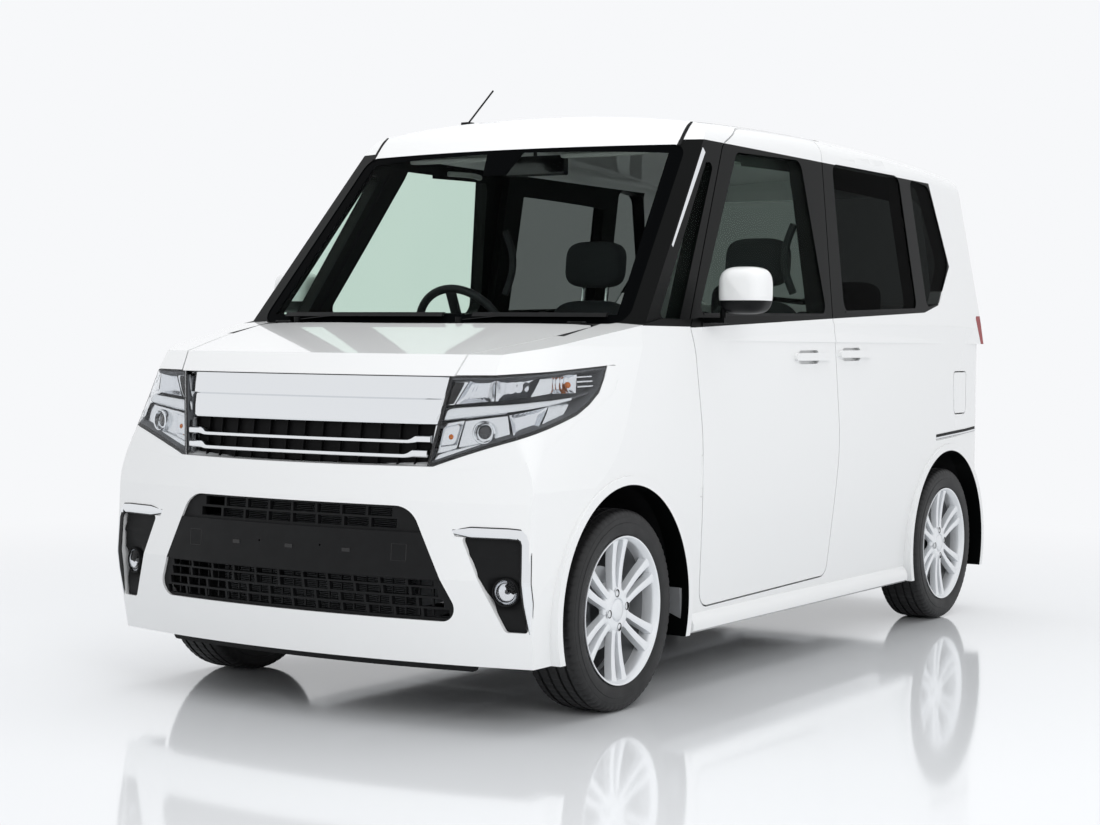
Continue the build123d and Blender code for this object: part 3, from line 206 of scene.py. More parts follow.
def fins(skin):
    """Flat horizontal condenser fins, 5 mm apart, with near-black painted shade in the gaps between them."""
    wave = skin.wave(64.0, "Z")
    # the near-black bands are painted shade between the fins, and the grey bands are the fins' metal
    skin.tint(wave, "#0f1011", "#6a6c6e")
    skin.bump(wave, 0.002)


def lamp_bands(skin):
    """Tail lamp colours by height: red over clear over red, with fine vertical optics."""
    from_clear = (skin.coordinates()[2] - 0.925).through("ABSOLUTE")
    skin.tint(from_clear.through("LESS_THAN", 0.03), "#8c0a12", "#d8d2d0")
    skin.bump(skin.wave(50.0, "X"), 0.001, 0.4)


def two_tone(mask, black="#040505", sheen=0.08):
    """White coated paint with the faint 12 mm ripple of spraying, dull black where mask(skin) is 1; in the
    wheel arches that black is painted shade.
    """
    def dress(skin):
        """Ripple in the coat; colour, coat and sheen by the mask."""
        skin.bump(skin.noise(0.012, 1.0), 0.00004, 0.3, "Coat Normal")
        skin.vary(skin.noise(0.6), "Roughness", 0.36, 0.46)
        dark = mask(skin)
        skin.tint(dark, WHITE, black)
        skin.vary(dark, "Coat Weight", 1.0, 0.0)
        skin.vary(dark, "Specular IOR Level", 0.5, sheen)
    return dress


# painted shade: black on the arches' inward faces stands for the shade inside them
def painted_arch_shade(skin):
    """Painted shade: 1 on the inward faces of the four wheel arches, which lie 347 mm from the axles, and 0
    elsewhere; the black there stands for the shade inside the arches.
    """
    _, y, z = skin.coordinates()
    y = (y - (FRONT_AXLE + REAR_AXLE) / 2000).through("ABSOLUTE") - (REAR_AXLE - FRONT_AXLE) / 2000
    z = z - TYRE_R / 1000
    return (y * y + z * z).through("LESS_THAN", (ARCH_FACE_R / 1000) ** 2)


def window_band(skin):
    """1 on the black film, where the least distance inside the sides of a convex patch is above zero, and on
    the black painted shade of the wheel arches.
    """
    _, y, z = skin.coordinates()
    least = None
    for (y0, z0), (y1, z1) in zip(DARK_BAND, DARK_BAND[1:] + DARK_BAND[:1]):
        length = np.hypot(y1 - y0, z1 - z0)
        a, b = (z0 - z1) / length, (y1 - y0) / length
        side = y * float(a) + z * float(b) - float(a * y0 + b * z0) / 1000
        least = side if least is None else least.through("MINIMUM", side)
    # the black painted shade of the wheel arches is joined to the film
    return least.through("GREATER_THAN", 0.0).through("MAXIMUM", painted_arch_shade(skin))


def lower_shell(skin):
    """1 under the split of the door mirrors."""
    return skin.coordinates()[2].through("LESS_THAN", SHELL_SPLIT / 1000)


def hinge_ears(skin):
    """1 on the bonnet's two hinge ears."""
    return skin.coordinates()[1].through("GREATER_THAN", HINGE_LINE / 1000)


def windscreen_band(skin):
    """Clear green-grey laminated glass with a black fired border and sensor patch."""
    x, _, z = skin.coordinates()
    x = x.through("ABSOLUTE")
    sides = z * -0.143 - x + 0.7775
    foot = z - 1.098
    head = x * x * -0.05 - z + 1.606
    patch_side = x - (z - 1.41) * 0.34
    patch_foot = z * -1.0 + 1.532
    least = sides
    for edge in (foot, head, patch_side.through("MAXIMUM", patch_foot)):
        least = least.through("MINIMUM", edge)
    black = least.through("LESS_THAN", 0.0)
    skin.tint(black, "#eef5f1", "#08090a")
    skin.vary(black, "Transmission Weight", 1.0, 0.0)


def green_ahead(skin):
    """Fixed panes: green glass ahead of the car's middle, dark glass behind it."""
    skin.tint(skin.coordinates()[1].through("LESS_THAN", 0.0), "#5a5d5c", "#d2e3d9")


PAINT = {"Base Color": WHITE, "Roughness": 0.4, "Coat Weight": 1.0, "Coat Roughness": 0.03}
# white paint with black painted shade on the wheel arches' inward faces
WHITE_PAINT = material("gloss_white_paint", PAINT, two_tone(painted_arch_shade))
# white paint with the black film round the windows, and black painted shade in the wheel arches
BAND_PAINT = material("gloss_white_paint_with_black_film_and_painted_arch_shade", PAINT, two_tone(window_band))
BONNET_PAINT = material("gloss_white_bonnet_paint", PAINT, two_tone(hinge_ears))
MIRROR_PAINT = material("gloss_white_paint_over_black_shell", PAINT, two_tone(lower_shell, "#101112", 0.15))
BLACK_PLASTIC = material("moulded_black_plastic", {"Roughness": 0.55, "Specular IOR Level": 0.2}, moulded())
# painted shade: a grey moulding that stands for the shade inside the wheel barrels and on the white spats
# behind the front wheels
PAINTED_SHADE_GREY = material("moulded_grey_for_painted_shade", {"Roughness": 0.5},
                        moulded(first="#77797b", second="#828486"))
TRIM_PLASTIC = material("soft_dark_cabin_plastic", {"Specular IOR Level": 0.25},
                        moulded(0.0004, 0.002, "#1b1c1e", "#242628"))
PALE_TRIM = material("pale_grey_pillar_trim", {}, moulded(0.00003, 0.002, "#9a9c9a", "#a6a8a5"))
BEZEL = material("grey_lamp_bezel", {"Roughness": 0.4}, moulded(0.0001, 0.001, "#4b4d50", "#55575a"))
STEEL = material("black_chassis_paint", {}, moulded(0.0003, 0.004, "#17181a", "#222326"))
BLACK_GLOSS = material("gloss_black_plastic", {"Base Color": "#060607"}, polished(0.1, 0.16))
GRILLE_BLACK = material("dull_black_grille_plastic", {"Base Color": "#040405", "Specular IOR Level": 0.2},
                        polished(0.6, 0.7))
SEAL = material("black_lamp_seal", {"Base Color": "#0d0d0e"}, polished(0.4, 0.5))
CHROME = material("bright_chrome_plate", {"Base Color": "#e6e8ea", "Metallic": 1.0}, polished(0.05, 0.09))
SATIN = material("satin_chrome_plate", {"Base Color": "#dcdee0", "Metallic": 1.0}, polished(0.18, 0.26))
REFLECTOR = material("lamp_reflector_aluminium", {"Base Color": "#d9dbde", "Metallic": 1.0},
                     polished(0.09, 0.14))
DISC = material("turned_steel_disc", {"Base Color": "#a9abad", "Metallic": 1.0}, polished(0.25, 0.4))
SILVER = material("silver_wheel_lacquer", {
    "Metallic": 0.45, "Roughness": 0.32, "Coat Weight": 0.6, "Coat Roughness": 0.08}, cast_sparkle)
CAST = material("sand_cast_iron", {"Metallic": 0.8, "Roughness": 0.55}, brushed_cast)
CONDENSER = material("condenser_fins_with_painted_shade", {"Metallic": 0.7, "Roughness": 0.5}, fins)
RUBBER = material("tyre_rubber", {}, rubber)
CLOTH = material("dark_woven_seat_cloth", {"Roughness": 0.9}, cloth)
RED_LAMP = material("red_and_clear_lamp_lens", {"Roughness": 0.12, "Specular IOR Level": 0.25}, lamp_bands)
LENS = material("clear_lamp_lens", {
    "Base Color": "#fbfcfd", "Roughness": 0.0, "IOR": 1.2, "Transmission Weight": 1.0}, polished(0.0, 0.004))
DARK_LENS = material("dark_projector_lens", {"Base Color": "#15171a", "Coat Weight": 1.0},
                     polished(0.02, 0.03))
AMBER = material("amber_bulb_glass", {"Base Color": "#c76a1c", "Transmission Weight": 0.3},
                 polished(0.08, 0.12))
GLASS = {"Roughness": 0.0, "IOR": 1.03, "Transmission Weight": 1.0}
WINDSCREEN = material("laminated_windscreen_glass", GLASS, windscreen_band)
GREEN_GLASS = material("green_tinted_glass", GLASS, smoked("#cfe0d6", "#d4e4da"))
PRIVACY_GLASS = material("dark_privacy_glass", GLASS, smoked("#575a59", "#5e6160"))
FIXED_GLASS = material("fixed_panes_of_green_and_dark_glass", GLASS, green_ahead)
MIRROR_GLASS = material("silvered_mirror_glass", {"Metallic": 1.0, "Roughness": 0.01},
                        smoked("#c6cacc", "#ccd0d2"))


# ---- making pieces
def patch(points, finish, wrap=(False, False)):
    """One surface of a piece: a grid of points in mm, its finish, and which ways it closes on itself."""
    return np.asarray(points, float), finish, wrap


def mirrored(patches):
    """The patches and their images across the car's middle."""
    return patches + [(p * (-1, 1, 1), finish, wrap) for p, finish, wrap in patches]


def placed(name, data):
    """A new object in the scene."""
    made = bpy.data.objects.new(name, data)
    bpy.context.scene.collection.objects.link(made)
    return made


def piece(name, patches, body, hides=(), crease=32.0):
    """Joins surfaces into one smooth-shaded mesh in metres that rides on a CAD body."""
    finishes = list(dict.fromkeys(finish for _, finish, _ in patches))
    verts, faces, slots = [], [], []
    start = 0
    for points, finish, (wrap_u, wrap_v) in patches:
        n, m = points.shape[:2]
        index = start + np.arange(n * m).reshape(n, m)
        if wrap_u:
            index = np.concatenate([index, index[:1]])
        if wrap_v:
            index = np.concatenate([index, index[:, :1]], 1)
        quads = np.stack([index[:-1, :-1], index[1:, :-1], index[1:, 1:], index[:-1, 1:]], -1).reshape(-1, 4)
        verts.append(points.reshape(-1, 3) / 1000.0)
        faces.append(quads)
        slots.append(np.full(len(quads), finishes.index(finish)))
        start += n * m
    verts, faces, slots = np.concatenate(verts), np.concatenate(faces), np.concatenate(slots)
    mesh = bpy.data.meshes.new(name)
    mesh.from_pydata(verts.tolist(), [], faces.tolist())
    for finish in finishes:
        mesh.materials.append(finish)
    mesh.polygons.foreach_set("material_index", slots.astype(np.int32))
    mesh.polygons.foreach_set("use_smooth", np.ones(len(slots), bool))
    work = bmesh.new()
    work.from_mesh(mesh)
    bmesh.ops.remove_doubles(work, verts=work.verts, dist=1e-5)
    bmesh.ops.dissolve_degenerate(work, edges=work.edges, dist=1e-6)
    bmesh.ops.recalc_face_normals(work, faces=work.faces)
    work.to_mesh(mesh)
    work.free()
    mesh.set_sharp_from_angle(angle=np.radians(crease))
    made = placed(name, mesh)
    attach(made, body)
    if hides:
        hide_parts(*hides)
    return made


def shell(front, back, finish):
    """A closed slab between two grids of the same size: both faces and the four edges between them."""
    rim = [(front[0], back[0]), (front[-1], back[-1]), (front[:, 0], back[:, 0]), (front[:, -1], back[:, -1])]
    return [patch(front, finish), patch(back, finish)] + [patch(np.stack(pair), finish) for pair in rim]


def xyz(x, y, z):
    """Points from three coordinates, each an array or one number for all."""
    return np.stack(np.broadcast_arrays(x, y, z), -1).astype(float)


def round_angles(count):
    """Even angles once round, in radians."""
    return np.linspace(0, 2 * np.pi, count, endpoint=False)


def quad(corners, n=12, m=8):
    """A grid between four corners given round the patch, straight along both ways."""
    a, b, c, d = np.array(corners, float)
    u = np.linspace(0, 1, n)[:, None, None]
    v = np.linspace(0, 1, m)[None, :, None]
    return (a * (1 - u) + b * u) * (1 - v) + (d * (1 - u) + c * u) * v


def path_frames(path, up):
    """Unit side and lift directions along a path: side is across it and the guide direction."""
    path = np.asarray(path, float)
    along = np.gradient(path, axis=0)
    along /= np.linalg.norm(along, axis=1)[:, None]
    side = np.cross(along, np.broadcast_to(up, path.shape))
    side /= np.linalg.norm(side, axis=1)[:, None]
    return side, np.cross(side, along)


def bar(path, up, section, finish, scale=None):
    """A section of (across, lift) points carried along a path and capped; scale widens it by station."""
    side, lift = path_frames(path, up)
    path = np.asarray(path, float)
    section = np.asarray(section, float)
    grow = np.ones(len(path)) if scale is None else np.asarray(scale, float)
    rows = (path[:, None] + side[:, None] * section[None, :, :1] * grow[:, None, None]
            + lift[:, None] * section[None, :, 1:] * grow[:, None, None])
    caps = [patch(np.stack([np.broadcast_to(end.mean(0), end.shape), end]), finish, (False, True))
            for end in (rows[0], rows[-1])]
    return [patch(rows, finish, (False, True))] + caps


def oval(width, height, count=12, power=1.0):
    """Points of a flattened circle, squarer as the power falls below one."""
    ring = [np.sign(f) * abs(f) ** power for f in (np.cos(round_angles(count)), np.sin(round_angles(count)))]
    return np.stack([ring[0] * width / 2, ring[1] * height / 2], -1)


def lathe(profile, finish, count=64, centre=(0, 0, 0)):
    """Rows of (x, radius) turned round a line along X through a centre."""
    profile = np.asarray(profile, float)
    ring = xyz(0, np.cos(round_angles(count)), np.sin(round_angles(count)))
    points = profile[:, None, 1:] * ring[None] + profile[:, None, :1] * (1, 0, 0) + np.array(centre)
    return patch(points, finish, (False, True))


def dome(foot, height, radius, end, count):
    """A profile for lathe(): part of an ellipse from its tip round to an angle."""
    a = np.linspace(0.01, end, count)
    return np.stack([foot + height * np.cos(a), radius * np.sin(a)], -1)


def turned_to(patches, centre, way):
    """Patches built along X moved to a centre with X turned to a direction."""
    way = np.array(way, float) / np.linalg.norm(way)
    side = np.cross((0, 0, 1), way)
    side /= np.linalg.norm(side)
    axes = np.stack([way, side, np.cross(way, side)])
    return [(p @ axes + np.array(centre), finish, wrap) for p, finish, wrap in patches]


def cushion(size, centre, tilt=0.0, edge=0.35, count=40, crown=0.0):
    """A rounded box: a sphere's angles raised to a small power, leaned about X, its top crowned.

    Its last column isn't joined to its first, so it has an open seam on its -X side.
    """
    u = np.linspace(-np.pi / 2, np.pi / 2, count)[:, None]
    v = round_angles(2 * count)[None, :] - np.pi
    waves = (np.cos(u), np.sin(u), np.cos(v), np.sin(v))
    cos_u, sin_u, cos_v, sin_v = [np.sign(f) * abs(f) ** edge for f in waves]
    x = cos_u * cos_v * size[0] / 2
    y = cos_u * sin_v * size[1] / 2
    z = sin_u * size[2] / 2 + crown * (1 - (2 * x / size[0]) ** 2) * (sin_u > 0)
    a = np.radians(tilt)
    return xyz(x, y * np.cos(a) - z * np.sin(a), y * np.sin(a) + z * np.cos(a)) + np.array(centre)


# ---- the painted skin, in millimetres
# half the distance between the headlamps at their foot, that foot's height, the rise of their inner edge for
# each mm outward, and the directions in degrees from straight ahead between which they lie
NOSE_EDGE = 418.0
LAMP_FOOT, LAMP_LEAN, LAMP_START, LAMP_END = 680.0, 5.51, 23.6, 84.8
# the nose: its plan arc's radius, how far back the skin lies by height, and the half width that uses them alone
NOSE_ARC, FLAT_NOSE = 2800.0, 330.0
NOSE_Z = np.array([130, 400, 600, 930, 985, 1090.0])
NOSE_BACK = np.array([46, 0, 12, 62, 98, 650.0])
# plan corners low and high on the body: x, y behind the front, radius
CORNER_LOW = [(0, 0, 0), (620, 0, 200), (716, 82, 70), (734.5, 500, 500), (734.5, 1500, 0)]
CORNER_HIGH = [(0, -40, 0), (440, -40, 200), (655, 290, 260), (734.5, 720, 700), (734.5, 1500, 0)]
# the heights between which the low plan turns into the high one
CORNER_RISE = (630.0, 1010.0)
# the upright line (x, y) that lamp directions turn round
LAMP_AXIS = np.array([200.0, -1150.0])
# the roof's fore-and-aft arc: its top and its radius
ROOF_MIDDLE, ROOF_ARC = 350.0, 16250.0


def rounded(rows, steps=16):
    """Points along straight runs joined by tangent arcs, from rows of (u, v, radius)."""
    points = [np.array(rows[0][:2], float)]
    for (a, b, c) in zip(rows, rows[1:], rows[2:]):
        here = np.array(b[:2], float)
        back = np.array(a[:2]) - here
        ahead = np.array(c[:2]) - here
        back /= np.hypot(*back)
        ahead /= np.hypot(*ahead)
        half = np.arccos(np.clip(back @ ahead, -1, 1)) / 2
        reach = b[2] / np.tan(half)
        way = (back + ahead) / np.hypot(*(back + ahead))
        centre = here + way * b[2] / np.sin(half)
        start, end = here + back * reach, here + ahead * reach
        s, e = start - centre, end - centre
        t = np.linspace(0, 1, steps)[:, None]
        arc = s * (1 - t) + e * t
        points.extend(centre + arc / np.hypot(*arc.T)[:, None] * b[2])
    points.append(np.array(rows[-1][:2], float))
    return np.array(points)


def resampled(line, count):
    """A polyline's points spread evenly over its corners' numbers."""
    t = np.linspace(0, len(line) - 1, count)
    return np.stack([np.interp(t, np.arange(len(line)), row) for row in np.array(line, float).T], -1)


def side_x(z):
    """The side below the belt: lines from the sill and the belt blended by a 4 m arc at z 650."""
    rows = rounded([(705.5, 112, 0), (733.5, 650, 4000), (713.9, 1100, 0)])
    return np.interp(z, rows[:, 1], rows[:, 0])


def skin_table():
    """Distance from the lamp axis to the skin, by direction and height."""
    theta = np.radians(np.linspace(0, 120, 601))
    z = np.linspace(140, 1090, 191)
    # both plans have as many corners, so their points go in pairs
    low, high = [resampled(rounded(corner), 589) for corner in (CORNER_LOW, CORNER_HIGH)]
    x = np.linspace(0, 760, 400)
    out = []
    for level in z:
        share = np.clip((level - CORNER_RISE[0]) / (CORNER_RISE[1] - CORNER_RISE[0]), 0, 1)
        plan = low * (1 - share) + high * share + (0, FRONT)
        back = np.interp(level, NOSE_Z, NOSE_BACK)
        nose = np.stack([x, FRONT + NOSE_ARC - np.sqrt((NOSE_ARC - back) ** 2 - x ** 2)], -1)
        reach = []
        for line in (plan, nose):
            ray = line - LAMP_AXIS
            turn = np.arctan2(ray[:, 0], -ray[:, 1])
            reach.append(np.interp(theta, turn, np.hypot(*ray.T)))
        flat = (side_x(level) - LAMP_AXIS[0]) / np.maximum(np.sin(theta), 0.05)
        out.append(np.minimum(np.minimum(*reach), flat))
    return np.degrees(theta), z, np.array(out)


TABLE_TURN, TABLE_Z, TABLE_REACH = skin_table()


def lamp_point(turn, z, inside=0.0):
    """A point of the skin seen from the lamp axis: turn in degrees from straight ahead, height, set in."""
    turn, z, inside = np.broadcast_arrays(*[np.asarray(a, float) for a in (turn, z, inside)])
    i = np.clip((z - TABLE_Z[0]) / (TABLE_Z[1] - TABLE_Z[0]), 0, len(TABLE_Z) - 1.001)
    j = np.clip(turn / (TABLE_TURN[1] - TABLE_TURN[0]), 0, len(TABLE_TURN) - 1.001)
    i0, j0 = i.astype(int), j.astype(int)
    a, b = i - i0, j - j0
    reach = (TABLE_REACH[i0, j0] * (1 - a) * (1 - b) + TABLE_REACH[i0 + 1, j0] * a * (1 - b)
             + TABLE_REACH[i0, j0 + 1] * (1 - a) * b + TABLE_REACH[i0 + 1, j0 + 1] * a * b) - inside
    way = np.radians(turn)
    return xyz(LAMP_AXIS[0] + reach * np.sin(way), LAMP_AXIS[1] - reach * np.cos(way), z)


def turn_at(x, z):
    """The lamp direction in degrees whose skin point has this x, by halving."""
    x, z = np.broadcast_arrays(np.asarray(x, float), np.asarray(z, float))
    low, high = np.zeros(x.shape), np.full(x.shape, 100.0)
    for _ in range(24):
        middle = (low + high) / 2
        short = lamp_point(middle, z)[..., 0] < x
        low, high = np.where(short, middle, low), np.where(short, high, middle)
    return low


def nose_half(z):
    """Half the distance between the headlamps at a height."""
    return NOSE_EDGE + (z - LAMP_FOOT) / LAMP_LEAN


def front_point(x, z, inside=0.0):
    """A point of the front skin by x and height, set in."""
    x, z, inside = np.broadcast_arrays(*[np.asarray(a, float) for a in (x, z, inside)])
    point = lamp_point(turn_at(abs(x), z), z, inside)
    back = np.interp(z, NOSE_Z, NOSE_BACK)
    middle = FRONT + inside + NOSE_ARC - np.sqrt((NOSE_ARC - back) ** 2 - x ** 2)
    near = abs(x) < FLAT_NOSE
    point[..., 0] = np.where(near, x, point[..., 0] * np.sign(x))
    point[..., 1] = np.where(near, middle, point[..., 1])
    return point


# ---- headlamps
# the lens outline's foot as (direction, height), and the foot and head of its opening as (y, height)
LENS_FOOT = np.array([(23.5, 683), (47.7, 768), (54, 787), (61, 806), (68.1, 826), (74, 852), (79.3, 884),
                      (82.5, 922), (84.9, 960.0)])
OPENING_FOOT = np.array([(-1762.5, 680), (-1620.5, 692), (-1341.5, 817), (-1300.5, 822), (-1176.5, 885),
                         (-1136, 962.0)])
LAMP_HEAD = np.array([(-1600.5, 928), (-1134.5, 962.0)])


def lamp_edges(turn):
    """The lamp's lowest and highest skin heights along a direction."""
    low, high = np.interp(turn, *LENS_FOOT.T), np.full(turn.shape, 930.0)
    for _ in range(8):
        at = lamp_point(turn, high)
        inner_end = LAMP_FOOT + (at[..., 0] - NOSE_EDGE) * LAMP_LEAN
        high = np.maximum(np.minimum(np.interp(at[..., 1], *LAMP_HEAD.T), inner_end), low)
    return low, high


def lamp_grid(inside, margin=0.0, n=90, m=14):
    """The lamp's whole outline as a grid; inside may be a function of the distance from the edge in mm."""
    turn = np.linspace(LAMP_START + margin / 14, LAMP_END - margin / 10, n)[:, None]
    low, high = lamp_edges(turn)
    middle = (low + high) / 2
    half = np.maximum((high - low) / 2 - margin, 0)
    v = np.linspace(-1, 1, m)[None, :]
    v = np.sign(v) * abs(v) ** 0.6
    z = middle + half * v
    if callable(inside):
        ends = np.minimum(turn - LAMP_START, LAMP_END - turn) * 9
        inside = inside(np.minimum(half * (1 - abs(v)), np.maximum(ends, 0)))
    return lamp_point(turn, z, inside)


def lamp_surround():
    """Painted skin round the foot and end of each lens, out past the opening's edge, where it dips under."""
    turn = np.concatenate([np.linspace(23.9, 68, 50), np.linspace(68.4, LAMP_END, 40)])
    near = np.stack([turn, np.interp(turn, *LENS_FOOT.T) - 0.6], -1)
    turn = np.concatenate([np.linspace(23.9, 68, 50), np.linspace(69, 93.2, 40)])
    low = np.full(turn.shape, 740.0)
    for _ in range(8):
        low = np.interp(lamp_point(turn, low)[..., 1], *OPENING_FOOT.T)
    drop = np.interp(turn, [23.9, 60, 68, 93.2], [14, 14, 6, 4])
    far = np.stack([turn, np.minimum(low - drop, near[:, 1] - 1)], -1)
    share = np.linspace(0, 1, 20)[None, :, None]
    grid = near[:, None] * (1 - share) + far[:, None] * share
    dip = np.linspace(0, 1, 20)[None, :] ** 8 * 1.6 - 0.35
    front = lamp_point(grid[..., 0], grid[..., 1], dip)
    back = lamp_point(grid[..., 0], grid[..., 1], np.broadcast_to(6.0, dip.shape))
    piece("headlamp_surrounds", mirrored(shell(front, back, WHITE_PAINT)), "body", crease=60)


def chamber(corners, depth, flutes):
    """A reflector pan: deepest in its middle, edges 13 mm in, with upright flutes 3 mm deep in its wall."""
    at = quad(corners, 28, 12)
    u = np.linspace(-1, 1, 28)[:, None]
    v = np.linspace(-1, 1, 12)[None, :]
    bowl = (1 - u ** 4) * (1 - v ** 4)
    step = abs(np.sin(u * np.pi * flutes / 2))
    return patch(lamp_point(at[..., 0], at[..., 1], 13 + (depth - 3.0 * step) * bowl), REFLECTOR)


def raised(corners, inside, thick, finish, n, m):
    """A pillowed bar on the lamp's inner layer between four (direction, height) corners."""
    at = quad(corners, n, m)
    v = np.linspace(-1, 1, m)[None, :] * np.ones((n, 1))
    front = lamp_point(at[..., 0], at[..., 1], inside - thick * (1 - v ** 4))
    return shell(front, lamp_point(at[..., 0], at[..., 1], inside + 8), finish)


def headlamps():
    """Both lamps: clear cover, dark seal, grey bezel, reflectors, dividing bar and projector."""
    cover = shell(lamp_grid(0.3), lamp_grid(3.0), LENS)
    lens = piece("headlamp_covers", mirrored(cover), "body", ["headlamps"])
    lens.visible_shadow = False

    tub = lamp_grid(lambda edge: 3.5 + 36 * np.clip((edge - 9) / 14, 0, 1), 0.5, m=30)
    housing = [patch(tub, BEZEL)]
    turn = np.linspace(LAMP_START, LAMP_END, 120)
    low, high = lamp_edges(turn)
    for edge, sign, width in ((low, 1, 9.0), (high, -1, 5.0)):
        strip = np.stack([edge, edge + sign * np.minimum(width, (high - low) * 0.45)], -1)
        housing += shell(lamp_point(turn[:, None], strip, 3.1), lamp_point(turn[:, None], strip, 6.0), SEAL)
    inner = np.linspace(682, 926, 40)
    across = nose_half(inner)[:, None] + (-2, 7)
    housing += shell(front_point(across, inner[:, None], 3.1), front_point(across, inner[:, None], 6.0), SEAL)
    piece("headlamp_housings", mirrored(housing), "body")

    # pillowed bars: corners (direction, height), set in, thickness, finish, stations along and across
    bars = [
        ([(25.2, 803), (66.9, 862), (67.8, 875), (28.4, 846)], 20, 8, SATIN, 40, 8),
        ([(66.5, 862), (77.5, 882), (78.5, 890), (67.2, 875)], 22, 4, BEZEL, 40, 8),
        # upper storey: inner frame and its dark middle, diagonal
        ([(27.2, 848), (31.6, 853), (36.0, 918), (30.6, 916)], 17, 3, SATIN, 20, 8),
        ([(28.8, 852), (31.2, 855), (34.4, 912), (31.8, 912)], 14, 3, BLACK_GLOSS, 12, 8),
        ([(52.2, 875), (59.0, 884), (60.0, 931), (56.4, 931)], 15, 5, SATIN, 16, 8),
        # lower storey: inner frame and its dark middle, foot, projector surround, outer blank
        ([(24.6, 716), (32.4, 740), (34.6, 812), (26.0, 797)], 21, 3, SATIN, 16, 8),
        ([(25.2, 735), (27.0, 738), (28.4, 790), (26.4, 788)], 18, 3, BLACK_GLOSS, 8, 8),
        ([(24.2, 697), (46.5, 762), (46.5, 774), (24.6, 720)], 22, 6, SATIN, 40, 8),
        ([(33.0, 742), (46.0, 768), (45.6, 826), (34.8, 810)], 26, 2, SATIN, 30, 8),
        ([(54.0, 795), (62.0, 817), (66.6, 859), (57.8, 849)], 20, 6, SATIN, 24, 8)]
    # the indicator's three ribs
    bars += [([(70.5, z), (78.0, z + 2), (78.4, z + 9), (71.0, z + 7)], 18, 5, SATIN, 14, 6)
             for z in (897, 910, 923)]
    # reflector pans: corners, depth, flutes
    pans = [
        ([(32.0, 854), (42.3, 864), (42.8, 921), (36.2, 918)], 22, 9),
        ([(42.6, 864), (52.6, 875), (56.0, 931), (43.0, 922)], 24, 5),
        ([(59.0, 883), (69.6, 884), (71.0, 933), (59.8, 931)], 20, 6),
        ([(27.4, 742), (32.0, 748), (33.8, 806), (28.6, 794)], 16, 0),
        ([(46.5, 775), (53.2, 794), (57.2, 849), (45.8, 828)], 22, 9)]
    parts = [part for row in bars for part in raised(*row)] + [chamber(*row) for row in pans]
    piece("headlamp_reflectors", mirrored(parts), "body", crease=50)

    eye = lamp_point(39.7, 782, 14)
    way = (0.25, -1.0, 0.02)
    ring = lathe([(-20, 31), (-6, 32), (2, 31), (5, 28.5), (3, 26), (-6, 25)], CHROME, 56)
    tunnel = lathe([(-6, 25), (-14, 22), (-15, 0.1)], BLACK_GLOSS, 48)
    glass = lathe(dome(-14, 12, 21, np.pi / 2, 12), DARK_LENS, 48)
    bulb = [lathe(dome(0, 9, 9, np.pi - 0.01, 14), AMBER, 24)]
    parts = turned_to([ring, tunnel, glass], eye, way)
    parts += turned_to(bulb, lamp_point(67.1, 905, 22), (0.8, -0.6, 0))
    parts += turned_to(bulb, lamp_point(31.0, 768, 24), (0.2, -1, 0))
    piece("headlamp_projectors", mirrored(parts), "body")


# ---- grilles and fog lamps
def across_front(z, gap, count=81):
    """Even stations along x between the headlamps at a height, a gap inside them."""
    return np.linspace(-1, 1, count) * (nose_half(z) - gap)


def grille_sheet(levels, insides, gap, finish, chamfer=(0.0, 1.0), count=81):
    """A sheet of (height, set-in) rows across the front, set in further over a chamfer at each end."""
    rows = []
    for z, inside in zip(levels, insides):
        x = across_front(z, gap, count)
        extra = chamfer[0] * np.clip((abs(x) - x.max() + chamfer[1]) / chamfer[1], 0, 1)
        rows.append(front_point(x, z, inside + extra))
    return patch(np.array(rows), finish)


def grille():
    """The upper grille: a stepped bright panel, two slats with kicked-up ends and the dark slots."""
    levels = [927, 925, 897, 869, 866]
    parts = [grille_sheet(levels, [14, 5.5, 3.2, 1.6, 6.5], 5, CHROME, (13, 52))]
    levels = [866, 862, 834, 806, 801, 799]
    parts.append(grille_sheet(levels, [6.5, 4.6, 2.2, 1.0, 4.0, 20], 5, CHROME, (13, 44)))
    parts.append(grille_sheet([800, 741, 682], [40, 42, 40], 2, GRILLE_BLACK))
    parts.append(grille_sheet([693, 684, 681], [40, 9, 4], 2, GRILLE_BLACK))
    for i in range(-6, 7):
        rib = front_point(i * 62.0 + np.array([[-2, 2]]), np.array([[684], [742], [799]]), 30)
        parts += shell(rib, rib + (0, 9, 0), GRILLE_BLACK)
    for z in (754, 716):
        x = across_front(z, 6, 121)
        from_end = x.max() - abs(x)
        kick = np.clip((74 - from_end) / 30, 0, 1)
        kick = kick * kick * (3 - 2 * kick)
        path = front_point(x, z + 7 * kick, 12 + 8 * kick)
        parts += bar(path, (0, 0, 1), oval(18, 11, 14, 0.5), CHROME, 1 + 0.85 * kick)
    piece("upper_grille_dressing", parts, "body", ["upper_grille"], 40)


